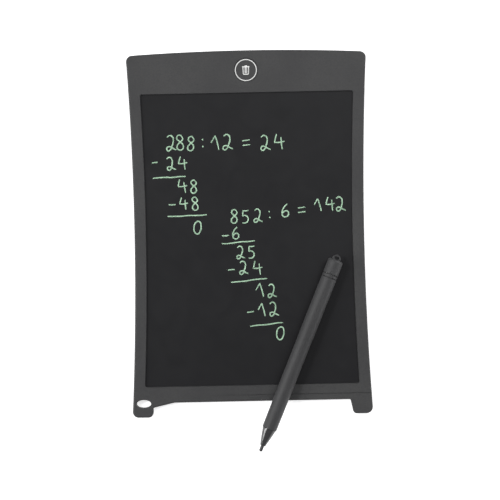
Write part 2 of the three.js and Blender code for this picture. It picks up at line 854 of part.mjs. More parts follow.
// A leaf from the circuit board over the minus side of the cell.
function negativeContact() {
  const foot = circuitTop + layerGap;
  const leaf = cellTop + layerGap;
  const bend = circuitRight;
  const start = bend - contactFoot;
  const end = cellX - cellRadius + negativeReach;
  const section = [
    [start, foot],
    [bend, foot],
    [bend + compartmentGap, leaf],
    [end, leaf],
    [end, leaf + contactThickness],
    [bend + compartmentGap - contactThickness / 2, leaf + contactThickness],
    [bend - contactThickness / 2, foot + contactThickness],
    [start, foot + contactThickness],
  ];
  const geometry = stripAlongY(cellY + contactSpread, contactWidth, section);
  return part("cell_contact_negative", geometry, springMetal);
}

// A strip from the circuit board down beside the edge of the cell, its plus side.
function positiveContact() {
  const foot = circuitTop + layerGap;
  const y = cellY - contactSpread;
  // the edge of the cell there, at the near corner of the strip
  const nearest = contactSpread - contactWidth / 2;
  const edge = cellX - Math.sqrt(cellRadius ** 2 - nearest ** 2) - contactGap;
  const section = [
    [circuitRight - contactFoot, foot],
    [edge - contactThickness, foot],
    [edge - contactThickness, cellBottom + cellGap],
    [edge, cellBottom + cellGap],
    [edge, foot + contactThickness],
    [circuitRight - contactFoot, foot + contactThickness],
  ];
  return part("cell_contact_positive", stripAlongY(y, contactWidth, section), springMetal);
}

function batteryDoor() {
  const outline = doorOutline(0);
  const inner = doorThickness - layerGap;
  const plate = skin([
    { points: outline, z: 0 },
    { points: outline, z: inner },
  ]);
  const plug = disc(cellX, cellY, compartmentRadius - doorGap, inner - layerGap, floorThickness);
  const sink = doorScrewSink + screwHeadHeight - slotDepth / 2;
  const geometry = carve(plate, [plug], [
    disc(doorScrewX, cellY, screwShankRadius + screwClearance, -1, thickness, smallSegments),
    disc(doorScrewX, cellY, screwHeadRadius + screwClearance, -1, sink, smallSegments),
  ]);
  return part("battery_door", geometry, shellPlastic);
}

function batteryDoorScrew() {
  const headTop = doorScrewSink + screwHeadHeight - slotDepth / 2 - layerGap;
  const headBottom = headTop - screwHeadHeight + slotDepth / 2 + layerGap;
  return screw("battery_door_screw", doorScrewX, cellY, headBottom, headTop, headTop + doorScrewLength);
}

// Slide switch under the board, open below where its lever runs.
function lockSwitch() {
  const bottom = floorThickness + lockGap / 2;
  const top = circuitBottom - layerGap;
  const travelSlot = leverLength + lockTravel + lockGap;
  const body = box(lockX, buttonY, travelSlot + lockSwitchEnd, lockSwitchWidth, bottom, top);
  const slot = box(lockX, buttonY, travelSlot, leverWidth + lockGap, bottom - 1, leverTop + lockGap / 2);
  const lever = box(lockRestX, buttonY, leverLength, leverWidth, leverBottom, leverTop);
  return [
    part("lock_switch_body", carve(body, [], [slot]), steel),
    part("lock_switch_lever", lever, blackPlastic),
  ];
}

function lockSlider() {
  const bottom = lockGap / 2;
  const capTop = bottom + lockCapThickness;
  const capCorners = rectangle(lockRestX, buttonY, lockCapLength, lockCapWidth, lockCapCorner);
  const cap = slab(capCorners, bottom, capTop);
  const postTop = capTop + lockPostHeight;
  const post = box(lockRestX, buttonY, lockPostLength, lockPostWidth, capTop - layerGap, postTop);
  const pocket = box(
    lockRestX,
    buttonY,
    leverLength + lockGap,
    leverWidth + lockGap,
    leverBottom - lockGap / 2,
    thickness,
  );
  // finger grooves, cut across the direction of travel
  const grooves = [-2, -1, 0, 1, 2].map((i) =>
    box(
      lockRestX + i * lockGroovePitch,
      buttonY,
      lockGrooveWidth,
      lockCapWidth - 2 * lockCapCorner,
      -1,
      bottom + lockGrooveDepth,
    ),
  );
  return part("lock_slider", carve(cap, [post], [pocket, ...grooves]), blackPlastic);
}

// A solid turned about the stylus's own axis, from pairs of radius and distance.
function stylusTurned(profile, segments = roundSegments) {
  const points = profile.map(([radius, along]) => new THREE.Vector2(radius, along));
  return new THREE.LatheGeometry(points, segments);
}

function stylusEndCap() {
  const rounding = quarterRound(capRounding)
    .reverse()
    .map(({ inset, rise }) => [capRadius - inset, capRounding - rise]);
  const body = stylusTurned([
    [0, 0],
    ...rounding,
    [capRadius, capLength],
    [spigotRadius, capLength],
    [spigotRadius, capLength + spigotLength],
    [0, capLength + spigotLength],
  ]);
  // the loop is a flat eye that lies level when the stylus lies down
  const loopRadius = loopWidth / 2;
  const loop = new THREE.Shape();
  loop.moveTo(-loopRadius, capRounding);
  loop.lineTo(loopRadius, capRounding);
  loop.lineTo(loopRadius, loopRadius - loopReach);
  loop.absarc(0, loopRadius - loopReach, loopRadius, 0, -Math.PI, true);
  const eye = new THREE.ExtrudeGeometry(loop, {
    depth: loopThickness,
    bevelEnabled: false,
    curveSegments: smallSegments,
  });
  eye.translate(0, 0, -loopThickness / 2);
  const hole = new THREE.CylinderGeometry(0.5, 0.5, 2 * loopThickness, smallSegments);
  hole.rotateX(Math.PI / 2).scale(loopHoleWidth, loopHoleHeight, 1);
  hole.translate(0, loopRim + loopHoleHeight / 2 - loopReach, 0);
  return part("stylus_end_cap", carve(body, [eye], [hole]), stylusPlastic);
}

function stylusBarrel() {
  const start = capLength + jointGap;
  const groove = start + bandLength;
  const end = coneStart;
  const gripRadius = capRadius - gripStep;
  return part(
    "stylus_barrel",
    stylusTurned([
      [barrelBore, start],
      [capRadius, start],
      [capRadius, groove],
      [capRadius - grooveDepth, groove],
      [capRadius - grooveDepth, groove + grooveWidth],
      [capRadius, groove + grooveWidth],
      [capRadius, gripStart],
      [gripRadius, gripStart + gripStep],
      [gripRadius, (gripStart + end) / 2],
      [barrelNoseRadius, end],
      [barrelBore, end],
      [barrelBore, start],
    ]),
    stylusPlastic,
  );
}

function stylusNoseCone() {
  const start = coneStart + jointGap;
  const boreRadius = nibShankRadius + spigotGap / 2;
  return part(
    "stylus_nose_cone",
    stylusTurned([
      [boreRadius, start - spigotLength],
      [spigotRadius, start - spigotLength],
      [spigotRadius, start],
      [coneBaseRadius, start],
      [coneMiddleRadius, (start + stylusBody) / 2],
      [coneTipRadius, stylusBody],
      [boreRadius, stylusBody],
      [boreRadius, start - spigotLength],
    ]),
    finish(0x343434, 0.25),
  );
}

function stylusNib() {
  const shoulder = stylusBody + jointGap / 2;
  const rounding = quarterRound(nibRadius).map(({ inset, rise }) => [
    nibRadius - inset,
    stylusLength - nibRadius + rise,
  ]);
  rounding[rounding.length - 1] = [0, stylusLength];
  return part(
    "stylus_nib",
    stylusTurned(
      [
        [0, stylusBody - nibShankLength],
        [nibShankRadius, stylusBody - nibShankLength],
        [nibShankRadius, shoulder],
        [nibRadius, shoulder],
        ...rounding,
      ],
      smallSegments,
    ),
    finish(0x2e2e2f, 0.4),
  );
}

// The stylus lies with its cap on the film and its barrel on the window's lower edge.
function stylus() {
  const group = new THREE.Group();
  group.add(stylusEndCap(), stylusBarrel(), stylusNoseCone(), stylusNib());
  const heading = new THREE.Vector2(-Math.sin(stylusHeading), -Math.cos(stylusHeading));
  const nibY = bottomEdge - nibOverhang;
  const capX = nibX - heading.x * stylusLength;
  const capY = nibY - heading.y * stylusLength;
  const edgeAlong = (capY - windowBottom) / Math.cos(stylusHeading);
  const capLevel = filmTop + restGap + capRadius;
  const edgeLevel = thickness + restGap + capRadius;
  const pitch = Math.atan2(edgeLevel - capLevel, edgeAlong);
  const level = Math.cos(pitch);
  const along = new THREE.Vector3(heading.x * level, heading.y * level, Math.sin(pitch));
  const across = new THREE.Vector3(-heading.y, heading.x, 0);
  const up = new THREE.Vector3().crossVectors(across, along);
  group.matrix.makeBasis(across, along, up).setPosition(capX, capY, capLevel);
  group.matrix.decompose(group.position, group.quaternion, group.scale);
  return group;
}

const tablet = new THREE.Group();
tablet.add(
  frontFrame(),
  backCover(),
  ...screenStack(),
  eraseButton(),
  switchBody(),
  switchPlunger(),
  circuitBoard(),
  ...boardComponents(),
  ...boardScrewParts(),
  flexConnector(),
  flexTail(),
  coinCell(),
  negativeContact(),
  positiveContact(),
  batteryDoor(),
  batteryDoorScrew(),
  ...lockSwitch(),
  lockSlider(),
  stylus(),
);

export default tablet;
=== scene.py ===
# %% [markdown]
# An LCD writing tablet and its stylus. Two moulded half shells hold a liquid crystal film that
# turns light where it is pressed, a round button above the film wipes it, and the stylus lies
# across it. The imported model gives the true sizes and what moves. This lesson models again, with
# finer edges and real finishes, each piece that shows, and leaves the hidden ones as they are.

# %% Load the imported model
import math
from functools import partial

import bmesh
import bpy
from mathutils import Matrix, Vector


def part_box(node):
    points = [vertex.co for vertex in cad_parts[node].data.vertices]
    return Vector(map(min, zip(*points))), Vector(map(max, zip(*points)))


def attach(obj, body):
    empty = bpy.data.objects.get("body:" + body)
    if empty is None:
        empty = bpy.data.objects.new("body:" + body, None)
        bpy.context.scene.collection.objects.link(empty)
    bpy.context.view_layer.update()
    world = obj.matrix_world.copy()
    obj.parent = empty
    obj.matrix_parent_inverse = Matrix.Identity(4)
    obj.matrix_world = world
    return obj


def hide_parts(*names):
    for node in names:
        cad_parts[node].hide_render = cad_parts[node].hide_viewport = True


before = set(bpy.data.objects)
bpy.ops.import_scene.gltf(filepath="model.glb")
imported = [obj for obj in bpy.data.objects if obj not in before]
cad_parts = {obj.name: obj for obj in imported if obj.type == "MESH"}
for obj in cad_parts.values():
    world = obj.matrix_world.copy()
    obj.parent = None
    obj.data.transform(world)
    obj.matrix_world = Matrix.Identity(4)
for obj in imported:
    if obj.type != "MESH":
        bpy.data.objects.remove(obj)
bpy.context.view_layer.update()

# %% [markdown]
# Sizes are written in millimetres and turned into Blender's metres in one place. Where a size
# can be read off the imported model, it is, so a piece always fits what it stands for.

# %% Millimetres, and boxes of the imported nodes
MM = 0.001


def at(x, y, z):
    return Vector((x, y, z)) * MM


def node_box(node):
    """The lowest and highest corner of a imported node, in millimetres."""
    low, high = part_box(node)
    return low / MM, high / MM


def node_spot(node):
    """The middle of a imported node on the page."""
    low, high = node_box(node)
    return tuple((low.xy + high.xy) / 2)


frame_low, frame_high = node_box("front_frame")
film_low, film_high = node_box("lcd_writing_film")
SOLE, CROWN = frame_low.y, frame_high.y
PARTING, FACE = frame_low.z, frame_high.z
print(f"soles {SOLE:.1f}, crown {CROWN:.1f}, parting {PARTING:.1f}, face {FACE:.1f} mm")

# %% [markdown]
# The camera looks straight down, as in the photograph, where the tablet is turned by about one
# degree. A long lens keeps the stylus, which stands above the screen, from leaning outwards.

# %% Camera
VIEW_CENTRE = (0.19, -10.39)  # what lies in the middle of the picture
VIEW_WIDTH = 302.4  # what the picture spans at the height of the face
VIEW_ROLL = math.radians(-1.168)
LENS, SENSOR = 120, 36

bpy.ops.object.camera_add()
camera = bpy.context.object
camera.name = "camera"
camera.data.lens = LENS
camera.data.sensor_width = SENSOR
camera.location = at(*VIEW_CENTRE, FACE + VIEW_WIDTH * LENS / SENSOR)
camera.rotation_euler = (0, 0, VIEW_ROLL)
bpy.context.scene.camera = camera
bpy.context.scene.view_settings.view_transform = "Standard"
print("camera height", round(camera.location.z, 3), "m")

# %% [markdown]
# A shader is a small graph of nodes. One function adds a node, sets its properties and fills its
# sockets with values or links, so each material below reads as a list of what it is made of.

# %% Colours and shader nodes
def srgb(code):
    """A hex colour as it is seen on a screen, turned into the linear values of a shader."""
    values = [int(code[i : i + 2], 16) / 255 for i in (1, 3, 5)]
    linear = [v / 12.92 if v <= 0.04045 else ((v + 0.055) / 1.055) ** 2.4 for v in values]
    return (*linear, 1.0)


def add_node(tree, kind, sockets=None, **settings):
    """Add a node. A socket takes a value, a hex colour, a link or the node that it is linked to."""
    made = tree.nodes.new("ShaderNode" + kind)
    for name, value in settings.items():
        setattr(made, name, value)
    for name, value in (sockets or {}).items():
        if isinstance(value, bpy.types.Node):
            value = next(output for output in value.outputs if output.enabled)
        if isinstance(value, bpy.types.NodeSocket):
            tree.links.new(value, made.inputs[name])
        else:
            made.inputs[name].default_value = srgb(value) if isinstance(value, str) else value
    return made


def new_material(name):
    """An empty material, what adds nodes to it, and the object's own coordinates for patterns."""
    material = bpy.data.materials.new(name)
    material.use_nodes = True
    material.node_tree.nodes.clear()
    add = partial(add_node, material.node_tree)
    return material, add, add("TexCoord").outputs["Object"]


def every(size):
    """The texture scale at which a pattern repeats every so many millimetres."""
    return 1 / (size * MM)


# %% [markdown]
# The light is plain and soft. A softbox to the upper left throws the stylus's shadow. A low, upright
# one on the same side gives the stylus its bright flank and its nose the long streak, because a
# cone mirrors an upright light as a line. One above lifts the far corner, and a weak one on the
# right and a dim sky fill the rest. Together they show a colour about as it is written. One more
# lights the back for whoever looks from underneath.

# %% Lamps and sky
SOFTBOXES = {
    # place in metres, width and height in metres, power in watts
    "key_softbox": ((-1.6, 0.5, 2.2), (0.62, 0.62), 25.5),
    "side_softbox": ((-1.45, -0.1, 0.72), (0.45, 1.15), 11.0),
    "top_softbox": ((0.6, 0.5, 0.95), (0.7, 0.7), 6.0),
    "fill_softbox": ((1.5, -0.25, 0.25), (0.5, 0.5), 4.5),
    "under_softbox": ((0.5, 0.6, -1.5), (1.0, 1.0), 12.0),
}
SKY = 0.27

for name, (place, size, power) in SOFTBOXES.items():
    bpy.ops.object.light_add(type="AREA", location=place)
    lamp = bpy.context.object
    lamp.name = name
    lamp.data.shape = "ELLIPSE"
    lamp.data.size, lamp.data.size_y = size
    lamp.data.energy = power
    lamp.visible_camera = False
    lamp.rotation_euler = (-Vector(place)).to_track_quat("-Z", "Y").to_euler()
    print(name, place, power, "W")

world = bpy.data.worlds.new("studio")
bpy.context.scene.world = world
world.use_nodes = True
sky = world.node_tree.nodes["Background"].inputs
sky["Color"].default_value = srgb("#fbfcff")
sky["Strength"].default_value = SKY

# %% [markdown]
# The photograph's background is plain white. The floor is a white board that takes the lamps and
# the shadow, and adds enough white of its own, for the camera and in reflections, to reach the
# photograph's white. Seen from below it lets the camera through, and the light of the lamp under
# it, so the back can be looked at. A low round wall far away hides where the floor ends.

# %% Floor
FLOOR_SIZE = 24.0  # metres
WALL_RADIUS, WALL_HEIGHT = 10.0, 3.0
FLOOR_GLOW = 0.68


def looked_at(add):
    """Whether a ray is the camera's, or one that a shiny or clear surface sends on."""
    path = add("LightPath").outputs
    seen = path["Is Camera Ray"]
    for kind in ("Is Glossy Ray", "Is Transmission Ray"):
        seen = add("Math", {0: seen, 1: path[kind]}, operation="MAXIMUM")
    return seen


def painted_board():
    """Matt white paint on board, which shines a little only for what looks straight at it."""
    material, add, _ = new_material("matt_white_board")
    glow = add("Math", {0: looked_at(add), 1: FLOOR_GLOW}, operation="MULTIPLY")
    paint = add("BsdfDiffuse", {"Color": "#f4f4f4"})
    lit = add("AddShader", {0: paint, 1: add("Emission", {"Strength": glow})})
    below = add("NewGeometry").outputs["Backfacing"]
    shadow = add("LightPath").outputs["Is Shadow Ray"]
    passes = add("Math", {0: below, 1: shadow}, operation="MAXIMUM")
    side = add("MixShader", {0: passes, 1: lit, 2: add("BsdfTransparent")})
    add("OutputMaterial", {"Surface": side})
    return material


def lit_cloth():
    """White studio cloth that only the camera and reflections see, and no light on the object."""
    material, add, _ = new_material("lit_white_cloth")
    clear = add("BsdfTransparent")
    white = add("Emission", {"Strength": 1.0})
    cloth = add("MixShader", {0: looked_at(add), 1: clear, 2: white})
    add("OutputMaterial", {"Surface": cloth})
    return material


bpy.ops.object.select_all(action="DESELECT")
bpy.ops.mesh.primitive_plane_add(size=FLOOR_SIZE, location=at(0, 0, -0.05))
floor = bpy.context.object
floor.name = "floor"
floor.data.materials.append(painted_board())
bpy.ops.mesh.primitive_cylinder_add(
    vertices=96,
    radius=WALL_RADIUS,
    depth=WALL_HEIGHT,
    end_fill_type="NOTHING",
    location=(0, 0, WALL_HEIGHT / 2),
)
wall = bpy.context.object
wall.name = "backdrop"
wall.data.materials.append(lit_cloth())
print("floor", FLOOR_SIZE, "m across, wall", WALL_HEIGHT, "m high")

# %% [markdown]
# Modelling goes by operators, as by hand. Each one acts on what is selected, so these helpers
# first make one object the only one that counts, and then select faces and edges by their place.

# %% Selecting
def take(piece):
    """Leave edit mode and make one object the only selected one."""
    if bpy.context.object and bpy.context.object.mode != "OBJECT":
        bpy.ops.object.mode_set(mode="OBJECT")
    bpy.ops.object.select_all(action="DESELECT")
    piece.select_set(True)
    bpy.context.view_layer.objects.active = piece


def edit(piece):
    take(piece)
    bpy.ops.object.mode_set(mode="EDIT")
    bpy.ops.mesh.select_all(action="DESELECT")


def middle(element):
    """The middle of a vertex, edge or face, in millimetres."""
    if isinstance(element, bmesh.types.BMVert):
        return element.co / MM
    return sum((vert.co for vert in element.verts), Vector()) / len(element.verts) / MM


def pick(kind, test=lambda element: True):
    """In edit mode, select exactly the verts, edges or faces that pass a test."""
    bpy.context.tool_settings.mesh_select_mode = [kind == k for k in ("verts", "edges", "faces")]
    bpy.ops.mesh.select_all(action="DESELECT")
    mesh = bmesh.from_edit_mesh(bpy.context.object.data)
    chosen = [element for element in getattr(mesh, kind) if test(element)]
    for element in chosen:
        element.select_set(True)
    bmesh.update_edit_mesh(bpy.context.object.data)
    return len(chosen)


def upright(edge):
    first, second = (vert.co for vert in edge.verts)
    return (first.xy - second.xy).length < 0.002 * MM and abs(first.z - second.z) > 0.02 * MM


def sharp(edge, least=20):
    return len(edge.link_faces) == 2 and edge.calc_face_angle() > math.radians(least)


def level(edge, z, off=0.01):
    return all(abs(vert.co.z / MM - z) < off for vert in edge.verts)


# %% Moving, dividing, rounding and cutting
def shift(x=0, y=0, z=0):
    """Move what is picked."""
    bpy.ops.transform.translate(value=at(x, y, z))


def draw_out(x=0, y=0, z=0):
    """Extrude the faces that are picked."""
    bpy.ops.mesh.extrude_region_move(TRANSFORM_OT_translate={"value": at(x, y, z)})


def step_face(piece, way, margin, sink=0, rise=0):
    """Inset the flat faces that look up (1) or down (-1) by a margin, and extrude what is inside."""
    edit(piece)
    pick("faces", lambda face: face.normal.z * way > 0.999)
    bpy.ops.mesh.inset(thickness=margin * MM, depth=sink * MM)
    if rise:
        draw_out(z=rise)
    take(piece)


def divide_at(x):
    """Divide all that is being edited at a place across."""
    bpy.ops.mesh.select_all(action="SELECT")
    bpy.ops.mesh.bisect(plane_co=at(x, 0, 0), plane_no=(1, 0, 0))


def weld(gap):
    """Merge the points of all that is being edited where they are closer than a gap."""
    bpy.ops.mesh.select_all(action="SELECT")
    bpy.ops.mesh.remove_doubles(threshold=gap * MM)


def merge_flat(piece, gap=0.003, flat=0.05):
    """Merge points that coincide, and dissolve the edges that only divide a flat face."""
    edit(piece)
    weld(gap)
    bpy.ops.mesh.dissolve_limited(angle_limit=math.radians(flat))
    take(piece)


def round_edges(piece, size, segments, test):
    """Bevel every edge of a piece that passes a test."""
    edit(piece)
    found = pick("edges", test)
    bpy.ops.mesh.bevel(offset=size * MM, segments=segments, affect="EDGES", clamp_overlap=False)
    take(piece)
    print(piece.name, found, "edges rounded by", round(size, 2), "mm")


def round_rim(piece, z, size, segments):
    """Round each square edge of a piece at a height."""
    round_edges(piece, size, segments, lambda edge: level(edge, z) and sharp(edge, 60))


def round_corners(piece, corners, segments):
    """Round the upright edge nearest to each place by its radius."""
    for x, y, radius in corners:
        edit(piece)
        mesh = bmesh.from_edit_mesh(piece.data)
        edges = [edge for edge in mesh.edges if upright(edge)]
        nearest = min(edges, key=lambda edge: (middle(edge).xy - Vector((x, y))).length)
        spot = middle(nearest).copy()
        size = radius * math.tan(nearest.calc_face_angle() / 2)
        round_edges(
            piece, size, segments, lambda edge: upright(edge) and (middle(edge) - spot).length < 0.001
        )


def round_four(piece, radius, segments):
    """Round the four upright corners of a block or plate."""
    ends = [[vert.co[axis] / MM for vert in piece.data.vertices] for axis in (0, 1)]
    x_ends, y_ends = ((min(values), max(values)) for values in ends)
    round_corners(piece, [(x, y, radius) for x in x_ends for y in y_ends], segments)


def apply_modifier(piece, kind, **settings):
    take(piece)
    bpy.ops.object.modifier_add(type=kind)
    modifier = piece.modifiers[-1]
    for name, value in settings.items():
        setattr(modifier, name, value)
    bpy.ops.object.modifier_apply(modifier=modifier.name)


def cut(piece, *tools, operation="DIFFERENCE"):
    """Cut each tool out of a piece, or join it on, and throw the tool away."""
    for tool in tools:
        apply_modifier(piece, "BOOLEAN", operation=operation, object=tool, solver="EXACT")
        bpy.data.meshes.remove(tool.data)
    return piece


def join_on(piece, *tools):
    return cut(piece, *tools, operation="UNION")


# %% Primitives at their size and place
def placed(name, size=(1, 1, 1)):
    """Name a new primitive, stretch it to its size and put its place in its mesh."""
    piece = bpy.context.object
    piece.name = piece.data.name = name
    piece.scale = size
    bpy.ops.object.transform_apply(location=True, rotation=True, scale=True)
    return piece


def put(piece, matrix):
    """Move a finished shape by a matrix, and write that into its mesh."""
    take(piece)
    piece.matrix_world = matrix
    bpy.ops.object.transform_apply(location=True, rotation=True, scale=True)


def block(name, x, y, z):
    """A block between a low and a high value along each axis."""
    bpy.ops.object.select_all(action="DESELECT")
    centre = [(low + high) / 2 for low, high in (x, y, z)]
    bpy.ops.mesh.primitive_cube_add(size=1, location=at(*centre))
    return placed(name, [(high - low) * MM for low, high in (x, y, z)])


def pad(name, spot, half, low, high):
    """A block round a spot on the page, given by its half sizes, from one height to another."""
    sides = [(centre - reach, centre + reach) for centre, reach in zip(spot, half)]
    return block(name, *sides, (low, high))


def rod(name, centre, radius, low, high, facets=96):
    """An upright cylinder from one height to another. A pair as radius makes it oval."""
    radii = radius if isinstance(radius, tuple) else (radius, radius)
    bpy.ops.object.select_all(action="DESELECT")
    spot = at(*centre, (low + high) / 2)
    bpy.ops.mesh.primitive_cylinder_add(vertices=facets, radius=1, depth=1, location=spot)
    return placed(name, (radii[0] * MM, radii[1] * MM, (high - low) * MM))


def tube(name, centre, inner, outer, low, high, facets=96):
    hole = rod("hole", centre, inner, low - 1, high + 1, facets)
    return cut(rod(name, centre, outer, low, high, facets), hole)


# %% Handing a finished piece over
def smooth(piece, angle=32):
    """Shade round stretches smoothly, keep sharp edges and let flat faces stay flat."""
    take(piece)
    bpy.ops.object.shade_smooth_by_angle(angle=math.radians(angle))
    apply_modifier(piece, "WEIGHTED_NORMAL", keep_sharp=True, weight=80)


def report(piece):
    mesh = bmesh.new()
    mesh.from_mesh(piece.data)
    open_edges = sum(1 for edge in mesh.edges if len(edge.link_faces) != 2)
    size = [round(v / MM, 2) for v in piece.dimensions]
    print(f"{piece.name}: {len(mesh.faces)} faces, {size} mm, {open_edges} open edges")
    mesh.free()


def hand_over(piece, body, slot, material, *nodes):
    """Give a finished piece its finish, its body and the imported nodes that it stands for."""
    piece.data.materials.clear()
    piece.data.materials.append(material)
    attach(piece, body)
    if nodes:
        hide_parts(*nodes)
    report(piece)


# %% [markdown]
# The two half shells share one outline: long sides drawn in as shallow arcs, a crowned top, and
# two feet with a bay for the stylus between them. A plane is subdivided along its sides, each row
# is pulled in by the depth of the arc there, and the plate is then thickened. Doing it with a
# function lets the cavity and the window use the same outline, drawn further in.

# %% Outline of the shells
CORNER_X = 72.9  # half the width across the corners
WAIST_DEPTH = 3.35
CROWN_RISE = 2.1
SIDE_ROWS, CROWN_COLUMNS = 24, 16
SIDE_RADIUS = (CROWN**2 + WAIST_DEPTH**2) / (2 * WAIST_DEPTH)
CROWN_RADIUS = (CORNER_X**2 + CROWN_RISE**2) / (2 * CROWN_RISE)


def side_x(y):
    return CORNER_X - WAIST_DEPTH + SIDE_RADIUS - math.sqrt(SIDE_RADIUS**2 - y**2)


def crown_y(x):
    return CROWN - CROWN_RADIUS + math.sqrt(CROWN_RADIUS**2 - x**2)


def waisted_plate(name, inset, low, high, bottom, top, crowned=False):
    """A plate from y low to y high whose long sides run inside the outline by an inset."""
    bpy.ops.object.select_all(action="DESELECT")
    bpy.ops.mesh.primitive_plane_add(size=1, location=at(0, (low + high) / 2, bottom))
    piece = placed(name, (2 * CORNER_X * MM, (high - low) * MM, 1))
    edit(piece)
    pick("edges", lambda edge: abs(middle(edge).x) > 1)
    bpy.ops.mesh.subdivide(number_cuts=SIDE_ROWS - 1)
    for row in range(SIDE_ROWS + 1):
        y = low + (high - low) * row / SIDE_ROWS
        pick("verts", lambda vert: abs(middle(vert).y - y) < 0.01)
        bpy.ops.transform.resize(value=((side_x(y) - inset) / CORNER_X, 1, 1))
    if crowned:
        pick("edges", lambda edge: abs(middle(edge).y - high) < 0.01)
        bpy.ops.mesh.subdivide(number_cuts=CROWN_COLUMNS - 1)
        half = side_x(high) - inset
        for column in range(CROWN_COLUMNS + 1):
            x = half * (2 * column / CROWN_COLUMNS - 1)
            pick("verts", lambda vert: (middle(vert).xy - Vector((x, high))).length < 0.01)
            shift(y=crown_y(x) - inset - high)
    take(piece)
    apply_modifier(piece, "SOLIDIFY", thickness=(top - bottom) * MM, offset=1)
    merge_flat(piece)
    return piece


# %% Feet and the bay between them
BOTTOM = SOLE + 8.7  # bottom edge between the feet
FOOT_INNER = 60.2
HAUNCH_LENGTH, HAUNCH_DROP = 12.9, 2.9  # slope beside the left foot
FOOT_LEAN = 0.9
THROUGH = 1.0  # how far a cutting tool runs past what it cuts
CORNER_ROUND = 3.8
OUTLINE_CORNERS = [
    (-CORNER_X, SOLE, 3.6),
    (-FOOT_INNER, SOLE, 3.0),
    (-FOOT_INNER, BOTTOM - HAUNCH_DROP, 0.9),
    (HAUNCH_LENGTH - FOOT_INNER, BOTTOM, 3.6),
    (FOOT_INNER - FOOT_LEAN, BOTTOM, 0.9),
    (FOOT_INNER + FOOT_LEAN, SOLE, 2.2),
    (CORNER_X, SOLE, 4.0),
    (-CORNER_X, CROWN, CORNER_ROUND),
    (CORNER_X, CROWN, CORNER_ROUND),
]


def bay_cutter():
    """What is cut away between the feet: a block with a sloping corner and a leaning end."""
    right = FOOT_INNER - FOOT_LEAN
    tool = block("bay", (-FOOT_INNER, right), (SOLE, BOTTOM), (-THROUGH, FACE + THROUGH))
    edit(tool)
    divide_at(HAUNCH_LENGTH - FOOT_INNER)
    pick("verts", lambda vert: middle(vert).x < 0.1 - FOOT_INNER and middle(vert).y > BOTTOM - 0.1)
    shift(y=-HAUNCH_DROP)
    pick("verts", lambda vert: middle(vert).x > 0 and middle(vert).y < SOLE + 0.1)
    shift(x=2 * FOOT_LEAN)
    pick("faces", lambda face: face.normal.y < -0.9)
    draw_out(y=-THROUGH)
    take(tool)
    return tool


def shell_blank(name, bottom, top):
    """Half of the case, still solid, with all its upright corners rounded."""
    blank = waisted_plate(name, 0, SOLE, CROWN, bottom, top, crowned=True)
    cut(blank, bay_cutter())
    merge_flat(blank)
    round_corners(blank, OUTLINE_CORNERS, 8)
    return blank


# %% [markdown]
# Everything on the case is injection moulded ABS. The mould is spark eroded, which leaves a fine
# even grain, so the plastic looks matt and hides its seams. The real grain is about 0.3 mm, too
# fine for a picture of this size, so it is drawn at 0.9 mm. Broad, faint changes of tone and of
# gloss keep large faces from looking painted. Each moulded finish differs only in its numbers.

# %% Moulded plastics
PIT = 0.27  # spacing of the spark-eroded pits; real ones are about half as wide and wouldn't show
MOST = {"From Min": 0.3, "From Max": 0.7}  # where nearly all of a noise lies


def lay_finish(add, mask, tones, sockets, *reliefs):
    """A shader with two tones mixed by a mask, and with reliefs of a depth in millimetres."""
    normal = {}
    for height, depth in reliefs:
        bump = {"Height": height, "Distance": depth * MM, "Strength": 1.0}
        normal = {"Normal": add("Bump", bump | normal)}
    tone = add("Mix", {0: mask, 6: tones[0], 7: tones[1]}, data_type="RGBA")
    shader = add("BsdfPrincipled", {"Base Color": tone} | sockets | normal)
    add("OutputMaterial", {"Surface": shader})


def moulded(name, *tones, roughness, grain=0.9, depth=0.012, gloss=0.5, pits=0.02, sheen=0.0):
    """Moulded plastic: two close tones, an even grain, fine pits from the mould and uneven gloss."""
    material, add, place = new_material(name)
    cloud = add("TexNoise", {"Vector": place, "Scale": every(38), "Detail": 3.0})
    speck = add("TexNoise", {"Vector": place, "Scale": every(grain), "Detail": 3.0})
    both = add("Math", {0: cloud, 1: speck}, operation="MULTIPLY")
    mask = add("MapRange", {"Value": both, "From Min": 0.12, "From Max": 0.4})
    range_to = {"To Min": roughness - 0.05, "To Max": roughness + 0.06}
    rough = add("MapRange", {"Value": speck} | MOST | range_to)
    reliefs = [(speck, depth)]
    if pits:
        cells = add("TexVoronoi", {"Vector": place, "Scale": every(PIT)})
        reliefs.append((cells, pits))
    body = {"Roughness": rough, "IOR": 1.53, "Specular IOR Level": gloss}
    bloom = {"Sheen Weight": sheen, "Sheen Roughness": 0.35}
    lay_finish(add, mask, tones, body | bloom, *reliefs)
    return material


# Charcoal ABS of the case: soft, even, slightly warm at its high spots
case_abs = moulded(
    "spark_eroded_charcoal_abs", "#343435", "#404040", roughness=0.58, gloss=0.4, pits=0.035
)
print(case_abs.name)

# %% [markdown]
# The front moulding is a frame. From the blank come, in turn: the rounded front edge, the hollow
# behind it, the window with its sloping sides, the round hole for the button with the guide ring
# behind it, the oval lanyard hole, the sockets that hold the stylus, and the shallow step along
# the bottom. A cavity tool is one more waisted plate, which keeps every wall the same thickness.

# %% Front moulding: blank, rounded edge and hollow
FACE_UNDERSIDE = FACE - 1.0
SIDE_WALL = 1.6
BOTTOM_BAR = 3.9  # solid edge between the feet
EDGE_ROUND, EDGE_STEPS = 1.0, 5


def cavity_tool(inset, bottom, top):
    """The hollow of the case, with its corners rounded like the outline's."""
    low = BOTTOM + BOTTOM_BAR + inset - SIDE_WALL
    high = crown_y(CORNER_X) - inset
    tool = waisted_plate("cavity", inset, low, high, bottom, top, crowned=True)
    round_four(tool, CORNER_ROUND - SIDE_WALL, 6)
    return tool


front = shell_blank("front_moulding", PARTING, FACE)
round_rim(front, FACE, EDGE_ROUND, EDGE_STEPS)
cut(front, cavity_tool(SIDE_WALL, PARTING - THROUGH, FACE_UNDERSIDE))

